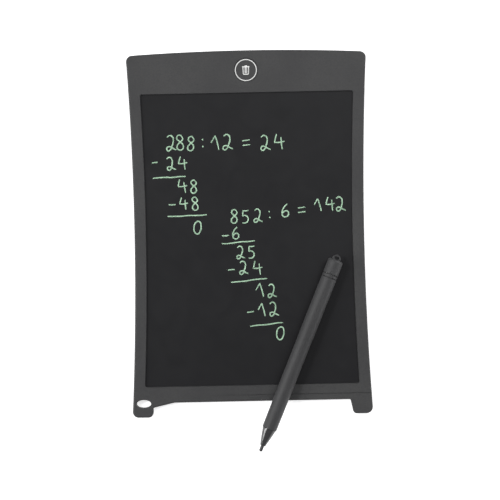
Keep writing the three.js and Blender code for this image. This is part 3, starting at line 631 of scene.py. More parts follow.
# %% Front moulding: window
BEZEL = 6.85  # beside the window
WINDOW_LOW = BOTTOM + 9.6
WINDOW_HIGH = film_high.y - 2.1  # the frame covers the films by this much
WINDOW_CORNER = 1.3
WINDOW_DRAFT = 0.3  # how far the window's sides slope in

window = waisted_plate("window", BEZEL, WINDOW_LOW, WINDOW_HIGH, FACE, FACE + THROUGH)
round_four(window, WINDOW_CORNER, 6)
step_face(window, -1, WINDOW_DRAFT, sink=FACE - FACE_UNDERSIDE, rise=-THROUGH)
cut(front, window)
report(front)

# %% Front moulding: button hole and guide, lanyard hole, sockets and step
BUTTON_AT = (0, CROWN - 12.0)
BUTTON_RADIUS, BUTTON_GAP = 7.1, 0.15
FLANGE_RADIUS = 8.3
GUIDE_WALL, GUIDE_BOTTOM = 0.8, 2.9
LANYARD_AT, LANYARD_RADII, LANYARD_FLARE = (7.0 - CORNER_X, BOTTOM - 0.4), (4.4, 2.4), 0.5
STYLUS_RADIUS = 4.65
BAY_Y = BOTTOM - 0.3 - STYLUS_RADIUS  # middle of the put-away stylus
NIB_SOCKET, NIB_SOCKET_DEEP = 1.3, 4.35
LOOP_SLOT_DEEP, LOOP_SLOT_HALF, LOOP_SLOT_Z = 5.25, 3.15, (1.15, 3.85)
STEP_START, STEP_RUN, STEP_DEPTH, STEP_RISE = -25, 30, 0.2, 4.1
STEP_LINE_WIDE, STEP_LINE_DEEP = 0.6, 0.55  # the fine dark line along the step's upper edge


def lanyard_tool():
    return rod("lanyard", LANYARD_AT, LANYARD_RADII, -THROUGH, FACE + THROUGH, 64)


def socket_tools():
    """The round hole for the nib in the left foot and the slot for the loop in the right one."""
    nib_hole = rod("nib_hole", (0, 0), NIB_SOCKET, -NIB_SOCKET_DEEP, 0.05, 32)
    lie = Matrix.Rotation(math.radians(90), 4, "Y")
    put(nib_hole, Matrix.Translation(at(-FOOT_INNER, BAY_Y, FACE / 2)) @ lie)
    start = FOOT_INNER - FOOT_LEAN
    sides = (BAY_Y - LOOP_SLOT_HALF, BAY_Y + LOOP_SLOT_HALF)
    return nib_hole, block("loop_slot", (start, start + LOOP_SLOT_DEEP), sides, LOOP_SLOT_Z)


def ramped_tool(name, low_edge, high_edge, depth):
    """A cutter across the right half of the foot end that starts at nothing and gets to its depth."""
    heights = (FACE - depth, FACE + THROUGH)
    tool = block(name, (STEP_START, CORNER_X + 1), (low_edge, high_edge), heights)
    edit(tool)
    divide_at(STEP_START + STEP_RUN)
    pick("verts", lambda vert: middle(vert).x < STEP_START + 1 and middle(vert).z < FACE)
    shift(z=depth + 0.002)
    take(tool)
    return tool


step_edge = BOTTOM + STEP_RISE
guide_inner = FLANGE_RADIUS + BUTTON_GAP
guide_outer = guide_inner + GUIDE_WALL
join_on(front, tube("guide", BUTTON_AT, guide_inner, guide_outer, GUIDE_BOTTOM, FACE_UNDERSIDE + 0.05))
cut(
    front,
    rod("button_hole", BUTTON_AT, BUTTON_RADIUS + BUTTON_GAP, PARTING, FACE + THROUGH),
    lanyard_tool(),
    *socket_tools(),
    ramped_tool("step", SOLE - 1, step_edge, STEP_DEPTH),
    ramped_tool("step_line", step_edge - STEP_LINE_WIDE, step_edge + 0.01, STEP_LINE_DEEP),
)
report(front)

# %% Front moulding: fine edges
FINE_EDGE = 0.16  # what a moulded edge keeps, small but enough to catch the light


def in_window(edge):
    spot = middle(edge)
    across = abs(spot.x) < side_x(spot.y) - BEZEL + 0.1
    return across and WINDOW_LOW - 0.1 < spot.y < WINDOW_HIGH + 0.1


def round_hole(piece, z, centre, radii, size, segments):
    """Round the rim of a round or oval hole in a flat face at a height."""

    def on_rim(edge):
        spot = middle(edge).xy - Vector(centre)
        near = abs(math.hypot(spot.x / radii[0], spot.y / radii[1]) - 1) < 0.06
        return near and level(edge, z) and sharp(edge)

    round_edges(piece, size, segments, on_rim)


round_edges(front, FINE_EDGE, 2, lambda edge: level(edge, FACE) and sharp(edge) and in_window(edge))
round_hole(front, FACE, BUTTON_AT, [BUTTON_RADIUS + BUTTON_GAP] * 2, FINE_EDGE, 2)
round_hole(front, FACE, LANYARD_AT, LANYARD_RADII, LANYARD_FLARE, 4)
smooth(front)
hand_over(front, "tablet", "shell_plastic", case_abs, "front_frame")

# %% [markdown]
# The back moulding is a tray from the same blank. Its floor carries ribs under the panel, a tongue
# that slips inside the frame, bosses for screws, the round compartment of the coin cell and, from
# outside, shallow recesses for the battery door and for the slider that locks the button.

# %% Back moulding: tray, tongue and ribs
FLOOR_TOP = 1.1
ROOT = FLOOR_TOP - 0.05  # where ribs and bosses grow out of the floor
RIB_TOP = 2.4
TONGUE_GAP, TONGUE_WALL, TONGUE_RISE = 0.1, 0.8, 0.6
SEAM_GAP = 0.05
RIB, RIB_STEP_X, RIB_STEP_Y = 1.2, 44, 36

back = shell_blank("back_moulding", 0, PARTING - SEAM_GAP)
round_rim(back, 0, EDGE_ROUND, EDGE_STEPS)
cut(back, cavity_tool(SIDE_WALL, FLOOR_TOP, PARTING + THROUGH))
tongue = cavity_tool(SIDE_WALL + TONGUE_GAP, ROOT, PARTING + TONGUE_RISE)
cut(tongue, cavity_tool(SIDE_WALL + TONGUE_GAP + TONGUE_WALL, 0, FACE))
join_on(back, tongue)
middle_x, middle_y = node_spot("lcd_writing_film")
half_film = (film_high - film_low) / 2
ribs = [((middle_x + step * RIB_STEP_X, middle_y), (RIB / 2, half_film.y)) for step in (-1, 0, 1)]
ribs += [((middle_x, middle_y + step * RIB_STEP_Y), (half_film.x, RIB / 2)) for step in range(-2, 3)]
join_on(back, *[pad("rib", spot, half, ROOT, RIB_TOP) for spot, half in ribs])
report(back)

# %% Back moulding: battery compartment, bosses and recesses
CELL_AT, SCREW_AT = node_spot("coin_cell"), node_spot("battery_door_screw")
COMPARTMENT, COMPARTMENT_WALL = 10.3, 0.7
DOOR_RADIUS, DOOR_GAP, DOOR_THICK, DOOR_TAB = 10.95, 0.15, 0.65, 3.5
BOSS, BOARD_BOSS_TOP = 2.4, 1.85
PILOT, PILOT_BOTTOM, DOOR_PILOT_TOP = 1.0, 0.5, 3.55
NOTCH_LENGTH, NOTCH_Y, NOTCH_BOTTOM = 2, (-5.2, -1.0), 1.15  # where a contact passes the wall
SLIDER_AT = node_spot("lock_slider")
SLIDER_PLATE, SLIDER_POST = (3.5, 2.0), (1.3, 1.1)  # half sizes
LOCK_TRAVEL, LOCK_GAP = 3.0, 0.2
RECESS_TOP, RECESS_CORNER, SLOT_TOP = 0.7, 1.0, 2
MID_TRAVEL = SLIDER_AT[0] + LOCK_TRAVEL / 2


def door_plate(name, grow, bottom, top):
    """The outline of the battery door: a disc with a round-ended tab for its screw."""
    plate = rod(name, CELL_AT, DOOR_RADIUS + grow, bottom, top)
    half = DOOR_TAB + grow
    sides = (CELL_AT[1] - half, CELL_AT[1] + half)
    arm = block("arm", (CELL_AT[0], SCREW_AT[0]), sides, (bottom, top))
    join_on(plate, arm, rod("arm_end", SCREW_AT, half, bottom, top, 48))
    merge_flat(plate)
    return plate


def travel_room(half, top):
    """The room that the slider's plate or post needs, with its gaps and its travel."""
    room = (half[0] + LOCK_GAP + LOCK_TRAVEL / 2, half[1] + LOCK_GAP)
    return pad("room", (MID_TRAVEL, SLIDER_AT[1]), room, -THROUGH, top)


join_on(
    back,
    rod("compartment", CELL_AT, COMPARTMENT + COMPARTMENT_WALL, ROOT, RIB_TOP),
    rod("door_boss", SCREW_AT, BOSS, ROOT, FACE_UNDERSIDE - TONGUE_GAP, 48),
)
for name in ("board_screw_left", "board_screw_right"):
    join_on(back, rod("boss", node_spot(name), BOSS, ROOT, BOARD_BOSS_TOP, 48))
    cut(back, rod("pilot", node_spot(name), PILOT, PILOT_BOTTOM, FACE, 32))
notch_x = CELL_AT[0] - COMPARTMENT
notch_y = [CELL_AT[1] + y for y in NOTCH_Y]
recess = travel_room(SLIDER_PLATE, RECESS_TOP)
round_four(recess, RECESS_CORNER, 5)
cut(
    back,
    door_plate("door_recess", DOOR_GAP, -THROUGH, DOOR_THICK + 0.05),
    rod("cell_hole", CELL_AT, COMPARTMENT, -THROUGH, RIB_TOP + THROUGH),
    rod("door_pilot", SCREW_AT, PILOT, -THROUGH, DOOR_PILOT_TOP, 32),
    block("notch", (notch_x, notch_x + NOTCH_LENGTH), notch_y, (NOTCH_BOTTOM, RIB_TOP + THROUGH)),
    recess,
    travel_room(SLIDER_POST, SLOT_TOP),
    lanyard_tool(),
    *socket_tools(),
)
report(back)

# %% [markdown]
# Beside the slider the mould carries two small padlocks, one closed and one open, which say what
# the slider does. They are sunk into the plastic and filled with pale paint. One function makes
# the shape, which is used twice: as the tool that sinks it, and thinner as the paint itself.

# %% Padlock signs and fine edges of the back
SIGN_OFFSET = 7.6  # from the middle of the slider's travel
SIGN_DEPTH, PAINT_FACE = 0.2, 0.06
BACK_EDGE = 0.08  # what the square edges of the recesses keep
SHACKLE_INNER, SHACKLE_OUTER, SHACKLE_SWING = 0.5, 0.85, -1.4


def padlock(name, x, is_open, bottom, top):
    """A padlock seen from below: a body with a half ring over it, swung aside when open."""
    y = SLIDER_AT[1]
    lock_body = block(name, (x - 1.2, x + 1.2), (y - 1.5, y + 0.3), (bottom, top))
    bow_x = x + (SHACKLE_SWING if is_open else 0)
    bow = tube("bow", (bow_x, y + 0.75), SHACKLE_INNER, SHACKLE_OUTER, bottom, top, 40)
    cut(bow, block("half", (x - 4, x + 4), (y - 2, y + 0.75), (bottom - 1, top + 1)))
    left = (bow_x - SHACKLE_OUTER, bow_x - SHACKLE_INNER)
    right = (bow_x + SHACKLE_INNER, bow_x + SHACKLE_OUTER)
    legs = [right] if is_open else [left, right]
    return join_on(
        lock_body, bow, *[block("leg", leg, (y + 0.2, y + 0.8), (bottom, top)) for leg in legs]
    )


def both_padlocks(name, bottom, top):
    sides = ((MID_TRAVEL - SIGN_OFFSET, True), (MID_TRAVEL + SIGN_OFFSET, False))
    return [padlock(name, x, is_open, bottom, top) for x, is_open in sides]


cut(back, *both_padlocks("sink", -THROUGH, SIGN_DEPTH))
round_hole(back, 0, LANYARD_AT, LANYARD_RADII, LANYARD_FLARE, 4)
round_rim(back, 0, BACK_EDGE, 2)
smooth(back)
hand_over(back, "tablet", "shell_plastic", case_abs, "back_cover")

# %% [markdown]
# Pad printing leaves a thin, slightly uneven coat of ink: brighter where it lies thick, and a
# little glossier than the grained plastic under it.

# %% Printed ink
white_ink, add, place = new_material("white_pad_printing_ink")
mottle = add("TexNoise", {"Vector": place, "Scale": every(0.7), "Detail": 2.0})
mask = add("MapRange", {"Value": mottle} | MOST)
gloss = {"Roughness": 0.42, "Specular IOR Level": 0.4}
lay_finish(add, mask, ("#e2e2e0", "#f2f2f0"), gloss, (mottle, 0.01))

paint = join_on(*both_padlocks("lock_signs", PAINT_FACE, SIGN_DEPTH))
hand_over(paint, "tablet", "plunger_plastic", white_ink)

# %% [markdown]
# The erase button is a disc with a flange that keeps it in its hole and a short stem that reaches
# the switch. It starts as the flange: its top is inset and extruded up to the face, its underside
# inset and extruded down. The ring is printed close to the edge, and a bin says what the button
# does. The bin is drawn from bars: lid, knob, a tapering body and three ribs.

# %% Erase button
STEM_END = node_box("erase_button")[0].z
STEM_RADIUS = 1.1  # narrower than the bore of the switch, which it enters when pressed
FLANGE_TOP, FLANGE_THICK = STEM_END + 0.65, 0.3
BUTTON_ROUND = 0.22

button = rod("wipe_button", BUTTON_AT, FLANGE_RADIUS, FLANGE_TOP - FLANGE_THICK, FLANGE_TOP, 128)
step_face(button, 1, FLANGE_RADIUS - BUTTON_RADIUS, rise=FACE - FLANGE_TOP)
step_face(button, -1, FLANGE_RADIUS - STEM_RADIUS, rise=STEM_END - FLANGE_TOP + FLANGE_THICK)
round_rim(button, FACE, BUTTON_ROUND, 4)
smooth(button)
hand_over(button, "erase_button", "button_plastic", case_abs, "erase_button")

# %% Printed ring and bin
RING_INNER, RING_OUTER = 6.11, 6.61
INK_TOP = FACE + 0.02
INK_ROOT = FACE - 0.03
PRINT_AT = (BUTTON_AT[0] - 0.12, BUTTON_AT[1] - 0.12)  # pad printing lands a little off centre
BIN_HALF, BIN_FOOT = 1.97, -2.8
BIN_LINE, BIN_FLOOR = 0.42, 0.55
BIN_RIBS = ((-0.62, 0.13), (0, 0.25), (0.62, 0.13))  # middle and half width of each


def ink_bar(x, y, grow=0):
    """A printed bar between two values across and two up, from the middle of the print."""
    spot = [[PRINT_AT[axis] + value for value in span] for axis, span in enumerate((x, y))]
    return block("bar", *spot, (INK_ROOT - grow, INK_TOP + grow))


def narrow(piece, share, test):
    """Draw the points that pass a test in towards the middle of the print."""
    edit(piece)
    pick("verts", lambda vert: test(middle(vert).y - PRINT_AT[1]))
    bpy.ops.transform.resize(value=(share, 1, 1), center_override=at(*PRINT_AT, FACE))
    take(piece)


def narrow_below(piece, share, low, corner):
    """Draw in the bottom of a bar and round its two bottom corners."""
    narrow(piece, share, lambda y: y < low + 0.1)
    foot = low + PRINT_AT[1]
    sides = [vert.co.x / MM for vert in piece.data.vertices if vert.co.y / MM < foot + 0.1]
    round_corners(piece, [(min(sides), foot, corner), (max(sides), foot, corner)], 5)
    return piece


def bin_print():
    """A dustbin 4.3 mm wide and 5.6 mm high: walls, ribs, lid and knob."""
    outer = narrow_below(ink_bar((-BIN_HALF, BIN_HALF), (BIN_FOOT, 1.9)), 0.9, BIN_FOOT, 0.75)
    wall, top_of_floor = BIN_HALF - BIN_LINE, BIN_FOOT + BIN_FLOOR
    inner = narrow_below(ink_bar((-wall, wall), (top_of_floor, 2.9), 0.5), 0.89, top_of_floor, 0.4)
    cut(outer, inner)
    lid = ink_bar((-2.15, 2.15), (1.65, 2.3))
    knob = ink_bar((-0.9, 0.9), (2.2, 2.8))
    narrow(knob, 0.7, lambda y: y > 2.7)
    ribs = [ink_bar((x - half, x + half), (-1.9, 1.75)) for x, half in BIN_RIBS]
    join_on(outer, lid, knob, *ribs)
    outer.name = outer.data.name = "wipe_bin_print"
    return outer


ring = tube("wipe_ring_print", PRINT_AT, RING_INNER, RING_OUTER, INK_ROOT, INK_TOP, 128)
smooth(ring)
for sign in (ring, bin_print()):
    hand_over(sign, "erase_button", "plunger_plastic", white_ink)

# %% [markdown]
# The writing film is clear polyester over a layer of liquid crystal, on black. From above it looks
# nearly black and satin: the hard coat scatters reflections, and hands leave faint smears in its
# gloss. Where a tip has pressed, the crystal turns and reflects a pale green.

# %% Film finishes
def film_finish(name, *tones, roughness, grain):
    """A hard-coated film: faint clouds in the tone, smears in the gloss and a very fine tooth."""
    material, add, place = new_material(name)
    cloud = add("TexNoise", {"Vector": place, "Scale": every(60), "Detail": 2.0})
    smears = {"Vector": place, "Scale": every(16), "Detail": 5.0, "Distortion": 1.2}
    tooth = add("TexNoise", {"Vector": place, "Scale": every(grain), "Detail": 2.0})
    range_to = {"To Min": roughness - 0.03, "To Max": roughness + 0.05}
    smear = add("TexNoise", smears)
    rough = add("MapRange", {"Value": smear} | MOST | range_to)
    coat = {"Roughness": rough, "IOR": 1.57, "Specular IOR Level": 0.25}
    lay_finish(add, cloud, tones, coat, (tooth, 0.004))
    return material


hard_coated_film = film_finish(
    "hard_coated_liquid_crystal_film", "#161618", "#1b1b1d", roughness=0.42, grain=0.7
)

# %% Writing film
# A sheet a fifth of a millimetre thick with rounded corners; its upper edge is eased, as a die
# leaves it, and a narrow margin is inset along its edges.
FILM_MARGIN, FILM_CORNER, FILM_EDGE = 1.4, 1.5, 0.05
film = block("pressure_film", *zip(film_low, film_high))
round_four(film, FILM_CORNER, 6)
round_rim(film, film_high.z, FILM_EDGE, 2)
step_face(film, 1, FILM_MARGIN)
smooth(film)
hand_over(film, "tablet", "writing_film", hard_coated_film, "lcd_writing_film")

# %% [markdown]
# The film shows two long divisions, written by hand. Each figure is a few points that a pen would
# pass through, as shares of its height. Smooth curves run through the points, which makes the same
# figure easy to repeat at any size. The curves get a round section and are then pressed flat, so
# that a line swells and thins a little and ends round, as a pressed line does.

# %% How each figure is written
# Each stroke is what a pen passes through: across and up, in hundredths of the figure's height
FIGURES = {
    "0": ["38,98 14,86 2,50 10,12 30,0 50,22 55,62 44,92 24,97"],
    "1": ["0,50 30,98", "30,98 42,50 50,0"],
    "2": ["2,88 18,100 37,91 43,68 37,36 26,8 12,0 2,10 7,25 24,27 44,15 66,5"],
    "4": ["13,100 6,74 0,46", "0,46 32,46 66,53", "42,80 46,40 52,0"],
    "5": ["14,98 10,76 7,56", "7,56 30,60 48,36 34,6 2,3", "14,98 34,95 56,100"],
    "6": ["42,98 16,70 3,34 12,4 38,2 52,24 38,46 14,36 6,24"],
    "8": ["48,82 28,100 8,82 24,58 46,34 40,6 16,2 5,22 24,50 46,70 48,82"],
    ":": ["8,94 13,88 18,82", "10,20 15,14 20,8"],
    "=": ["0,80 110,92", "2,12 112,24"],
}

# Each group of figures: what it says, left end and foot, height and width over the whole group
SUMS = [
    ("288", -49.6, 50.3, 9.7, 17.2), (":", -28.3, 51.5, 6.7, 1.8), ("12", -22.3, 50.2, 9.7, 12.1),
    ("=", -3.4, 51.9, 4.9, 6.1), ("24", 7.5, 49.6, 10.3, 14.6), ("24", -49.2, 38.6, 8.5, 11.5),
    ("48", -42.8, 24.5, 9.1, 12.7), ("48", -42.4, 14.2, 8.5, 13.4), ("0", -34.2, -0.6, 8.5, 6.1),
    ("852", -11.6, 5.6, 9.1, 19.4), (":", 11.5, 8.2, 5.5, 2.4), ("6", 19.4, 8.7, 8.5, 5.5),
    ("=", 29.2, 10.9, 4.9, 6.7), ("142", 39.5, 11.9, 9.1, 18.2), ("6", -10.6, -4.1, 7.9, 6.1),
    ("25", -8.4, -15.9, 8.7, 12.7), ("24", -6.8, -25.6, 8.8, 14.6), ("12", 3.2, -39.6, 9.1, 12.1),
    ("12", 4.2, -51.1, 9.1, 12.1), ("0", 14.6, -65.3, 8.5, 5.8),
]
# Minus signs and the lines under a step: left end, height, length and rise
RULES = [
    (-58.2, 43.6, 3.6, 0.1), (-57.8, 34.3, 20.0, 0.6), (-48.4, 17.9, 4.2, 0.2),
    (-49.2, 10.8, 23.7, 0.6), (-16.6, -1.5, 4.2, 0.3), (-16.7, -6.4, 20.0, 1.6),
    (-13.4, -22.3, 4.2, 0.2), (-11.7, -29.9, 21.9, 2.2), (-2.4, -48.0, 4.2, 0.2),
    (-0.7, -56.6, 20.0, 1.9),
]
FIGURE_SPAN = 0.66  # room of one figure, as a share of its height, before spreading to the width
STROKE = 0.4  # half the width of a line
STROKE_RISE = 0.02  # how far a line stands over the film
STROKE_END = 0.82  # a line starts and ends a little finer than it runs
# A hand never writes a figure twice the same: how much one leans, swells, sits up or waves
LEAN, SWELL, LIFT = 0.07, 0.05, 0.25
RULE_STEP, WAVE = 4.0, 0.16


# %% Writing
def pen_stroke(curve, points):
    """One smooth line through points given in millimetres on the film."""
    spline = curve.splines.new("BEZIER")
    spline.bezier_points.add(len(points) - 1)
    for point, (x, y) in zip(spline.bezier_points, points):
        point.co = at(x, y, film_high.z)
        point.handle_left_type = point.handle_right_type = "AUTO"
    for end in (0, -1):
        spline.bezier_points[end].radius = STROKE_END


def write_sums():
    curve = bpy.data.curves.new("written_sums", "CURVE")
    curve.dimensions = "3D"
    curve.resolution_u = 6
    curve.bevel_depth = STROKE * MM
    curve.bevel_resolution = 3
    curve.use_fill_caps = True
    count = 0
    for text, left, base, outer, width in SUMS:
        room = (width - 2 * STROKE) / (len(text) - 1 + FIGURE_SPAN)
        for place, figure in enumerate(text):
            count += 1
            lean, lift = LEAN * math.sin(2.4 * count), LIFT * math.sin(3.7 * count)
            height = (outer - 2 * STROKE) * (1 + SWELL * math.sin(1.3 * count))
            x0, y0 = left + STROKE + place * room, base + STROKE + lift
            for stroke in FIGURES[figure]:
                points = [[int(part) / 100 for part in point.split(",")] for point in stroke.split()]
                pen_stroke(curve, [(x0 + (x + lean * y) * height, y0 + y * height) for x, y in points])
    for left, height, length, rise in RULES:
        steps = max(2, round(length / RULE_STEP))
        line = []
        for step in range(steps + 1):
            share, wave = step / steps, WAVE * math.sin(left + 2.1 * step)
            line.append((left + share * length, height + share * rise + wave))
        pen_stroke(curve, line)
    piece = bpy.data.objects.new("written_sums", curve)
    bpy.context.collection.objects.link(piece)
    take(piece)
    bpy.ops.object.convert(target="MESH")
    return bpy.context.object


writing = write_sums()
edit(writing)
weld(0.01)
shift(z=-film_high.z)
bpy.ops.transform.resize(value=(1, 1, STROKE_RISE / STROKE), center_override=(0, 0, 0))
shift(z=film_high.z)
bpy.ops.mesh.normals_make_consistent(inside=False)
take(writing)
bpy.ops.object.shade_smooth()

# %% Written crystal
# Pressure turns the liquid crystal: pale green, brighter where the tip pressed harder
written_crystal, add, place = new_material("pressed_liquid_crystal")
press = add("TexNoise", {"Vector": place, "Scale": every(2.6), "Detail": 3.0})
mask = add("MapRange", {"Value": press, "From Min": 0.32, "From Max": 0.66})
satin = {"Roughness": 0.45, "Specular IOR Level": 0.2}
lay_finish(add, mask, ("#93b398", "#b7d9bb"), satin)
hand_over(writing, "tablet", "writing_film", written_crystal)

# %% [markdown]
# The stylus is turned work: a cap with a flat eye for a cord, a long barrel, a glossy nose and a
# hard nib. Each profile is drawn as a chain of points beside an upright axis and spun round it.
# The four pieces are made standing up, and one matrix then lays them down: the cap on the film,
# the barrel on the lower edge of the window and the nib in the air past the tablet.

# %% Spinning a profile
def turned(name, profile, steps=72):
    """Spin a chain of points round the upright axis. Each is a radius and a height, and where its
    ring edge gets rounded, also the size and the segments of the rounding."""
    bpy.ops.object.select_all(action="DESELECT")
    bpy.ops.mesh.primitive_plane_add(size=MM)
    piece = placed(name)
    edit(piece)
    pick("verts")
    bpy.ops.mesh.merge(type="CENTER")
    shift(profile[0][0], 0, profile[0][1])
    for (radius, height, *_), (next_radius, next_height, *_) in zip(profile, profile[1:]):
        move = at(next_radius - radius, 0, next_height - height)
        bpy.ops.mesh.extrude_vertices_move(TRANSFORM_OT_translate={"value": move})
    bpy.ops.mesh.select_all(action="SELECT")
    bpy.ops.mesh.spin(steps=steps, angle=math.tau, center=(0, 0, 0), axis=(0, 0, 1))
    weld(0.002)
    bpy.ops.mesh.normals_make_consistent(inside=False)
    for radius, height, size, segments in [point for point in profile if len(point) > 2]:

        def on_ring(edge):
            near = all(abs(vert.co.xy.length / MM - radius) < 0.02 for vert in edge.verts)
            return near and level(edge, height)

        round_edges(piece, size, segments, on_ring)
    take(piece)
    return piece


# %% Stylus sizes and how it lies
STYLUS_BODY = 2 * FOOT_INNER - 0.3  # fits between the feet when it is put away
NIB_LENGTH = 3.8
HEADING = math.radians(22.8)
NIB_X, NIB_OVERHANG = 3.9, 29.8
REST_GAP = 0.3


def stylus_matrix():
    """Turns an upright stylus, cap down at the origin, to where it lies."""
    heading = Vector((-math.sin(HEADING), -math.cos(HEADING)))
    cap_xy = Vector((NIB_X, BOTTOM - NIB_OVERHANG)) - heading * (STYLUS_BODY + NIB_LENGTH)
    cap_level = film_high.z + REST_GAP + STYLUS_RADIUS
    edge_level = FACE + REST_GAP + STYLUS_RADIUS
    pitch = math.atan2(edge_level - cap_level, (cap_xy.y - WINDOW_LOW) / math.cos(HEADING))
    along = Vector((heading.x * math.cos(pitch), heading.y * math.cos(pitch), math.sin(pitch)))
    across = Vector((-heading.y, heading.x, 0))
    lie = Matrix((across, along.cross(across), along)).transposed().to_4x4()
    lie.translation = at(*cap_xy, cap_level)
    print(f"stylus rises {math.degrees(pitch):.2f} degrees towards its nib")
    return lie


LIE = stylus_matrix()


def lay_down(piece, slot, material, node):
    """Smooth a piece of the standing stylus, lay it where it belongs and hand it over."""
    smooth(piece)
    put(piece, LIE)
    hand_over(piece, "stylus", slot, material, node)


# Soft-touch charcoal ABS of the cap and barrel: smoother than the case, with a pale bloom at its edges
stylus_abs = moulded(
    "soft_touch_charcoal_abs", "#333334", "#3e3e3f",
    roughness=0.55, grain=0.6, depth=0.006, gloss=0.35, sheen=0.12,
)
# The nose is moulded in a polished tool, so it is dark and mirrors the studio in streaks
nose_abs = moulded(
    "polished_dark_abs", "#2c2c2d", "#333334", roughness=0.15, grain=1.6, depth=0.001, gloss=0.75, pits=0
)
# The nib is hard acetal, which rubs to a low sheen where it writes
nib_acetal = moulded(
    "rubbed_dark_acetal", "#262627", "#38383a", roughness=0.34, grain=0.5, depth=0.003, pits=0
)

# %% Stylus cap and its eye
CAP_LENGTH, CAP_ROUND = 9.2, 1.3
BARREL_BORE, SPIGOT_RADIUS, SPIGOT_LENGTH = 3.02, 2.72, 6.0
SPIGOT_END = CAP_LENGTH + SPIGOT_LENGTH
EYE_REACH, EYE_HALF, EYE_THICK = 3.2, 2.55, 1.9
EYE_HOLE, EYE_RIM, EYE_EDGE = (1.45, 1.0), 0.95, 0.3

cap = turned(
    "stylus_eye_cap",
    [
        (0, 0), (STYLUS_RADIUS, 0, CAP_ROUND, 6), (STYLUS_RADIUS, CAP_LENGTH, 0.18, 3),
        (SPIGOT_RADIUS, CAP_LENGTH), (SPIGOT_RADIUS, SPIGOT_END, 0.3, 3), (0, SPIGOT_END),
    ],
)

# the eye is drawn flat, reaching up the page, and then stood on end with its tip down
eye_top = EYE_REACH - EYE_HALF
eye = rod("eye", (0, eye_top), EYE_HALF, -EYE_THICK / 2, EYE_THICK / 2, 48)
join_on(eye, block("root", (-EYE_HALF, EYE_HALF), (-1.2, eye_top), (-EYE_THICK / 2, EYE_THICK / 2)))
cut(eye, rod("eye_hole", (0, EYE_REACH - EYE_RIM - EYE_HOLE[1]), EYE_HOLE, -3, 3, 40))
merge_flat(eye)
eye_face = EYE_THICK / 2 - 0.01
round_edges(eye, EYE_EDGE, 3, lambda edge: sharp(edge, 60) and abs(middle(edge).z) > eye_face)
put(eye, Matrix.Rotation(math.radians(-90), 4, "X"))
join_on(cap, eye)
lay_down(cap, "stylus_plastic", stylus_abs, "stylus_end_cap")

# %% Stylus barrel
BARREL_START = CAP_LENGTH + 0.3
GROOVE_START = BARREL_START + 1.7
GROOVE_END, GROOVE_RADIUS = GROOVE_START + 0.4, STYLUS_RADIUS - 1.0
GRIP_START, GRIP_STEP = 51.0, 0.08
CONE_START = STYLUS_BODY - 11.0
BARREL_NOSE = 4.42
grip = STYLUS_RADIUS - GRIP_STEP

barrel = turned(
    "stylus_long_barrel",
    [
        (BARREL_BORE, BARREL_START), (STYLUS_RADIUS, BARREL_START, 0.18, 3),
        (STYLUS_RADIUS, GROOVE_START, 0.09, 2), (GROOVE_RADIUS, GROOVE_START),
        (GROOVE_RADIUS, GROOVE_END), (STYLUS_RADIUS, GROOVE_END, 0.09, 2),
        (STYLUS_RADIUS, GRIP_START), (grip, GRIP_START + GRIP_STEP),
        (grip, (GRIP_START + CONE_START) / 2), (BARREL_NOSE, CONE_START, 0.22, 3),
        (BARREL_BORE, CONE_START), (BARREL_BORE, BARREL_START),
    ],
)
lay_down(barrel, "stylus_plastic", stylus_abs, "stylus_barrel")

# %% Stylus nose and nib
NOSE_START = CONE_START + 0.08
NOSE_STEPS = 8
NOSE_RADIUS, NOSE_TAPER, NOSE_FULLNESS = 4.15, 2.2, 0.35
NIB_RADIUS, NIB_SHANK, NIB_BORE = 1.05, 0.75, 0.9
NIB_SHOULDER, NIB_TIP = STYLUS_BODY + 0.15, STYLUS_BODY + NIB_LENGTH

# the nose narrows faster and faster towards the nib, so its side is slightly full
shares = [step / NOSE_STEPS for step in range(NOSE_STEPS + 1)]
nose_length = STYLUS_BODY - NOSE_START
radii = [NOSE_RADIUS - NOSE_TAPER * share - NOSE_FULLNESS * share**2 for share in shares]
flank = [(radius, NOSE_START + share * nose_length) for radius, share in zip(radii, shares)]
flank[0] += (0.1, 3)
flank[-1] += (0.2, 3)
nose_root = NOSE_START - SPIGOT_LENGTH
nose = turned(
    "stylus_glossy_nose",
    [
        (NIB_BORE, nose_root), (SPIGOT_RADIUS, nose_root), (SPIGOT_RADIUS, NOSE_START),
        *flank, (NIB_BORE, STYLUS_BODY), (NIB_BORE, nose_root),
    ],
)
lay_down(nose, "cone_plastic", nose_abs, "stylus_nose_cone")

nib_root = STYLUS_BODY - SPIGOT_LENGTH
nib = turned(
    "stylus_hard_nib",
    [
        (0, nib_root), (NIB_SHANK, nib_root), (NIB_SHANK, NIB_SHOULDER),
        (NIB_RADIUS, NIB_SHOULDER, 0.1, 2), (NIB_RADIUS, NIB_TIP, 1.0, 6), (0, NIB_TIP),
    ],
    40,
)
lay_down(nib, "nib_plastic", nib_acetal, "stylus_nib")

# %% [markdown]
# On the back, a round door closes the coin cell's compartment. It has a tab for one screw, a plug
# that holds the cell, three sunk bars for a thumb to grip, and a plus sign that says which way up
# the cell goes. Its screw has a cross recess, and so do the two screws of the circuit board, which
# are shorter and the other way up.

# %% Battery door
PLUG_RADIUS = COMPARTMENT - 0.15
SCREW_HEAD, SCREW_SHANK, SCREW_GAP = 1.7, 0.85, 0.15
COUNTERBORE_TOP = 0.45
DOOR_EDGE, SIGN_DEEP = 0.12, 0.25
GRIP_OFF, GRIP_PITCH, GRIP_HALF = -6.2, 1.5, 0.35  # off the cell's middle, apart, half width
GRIP_REACH, GRIP_LESS = 3.0, 0.5  # half length of the middle bar, and how much less the others have
PLUS_OFF, PLUS_REACH, PLUS_HALF = 2.5, 2, 0.3

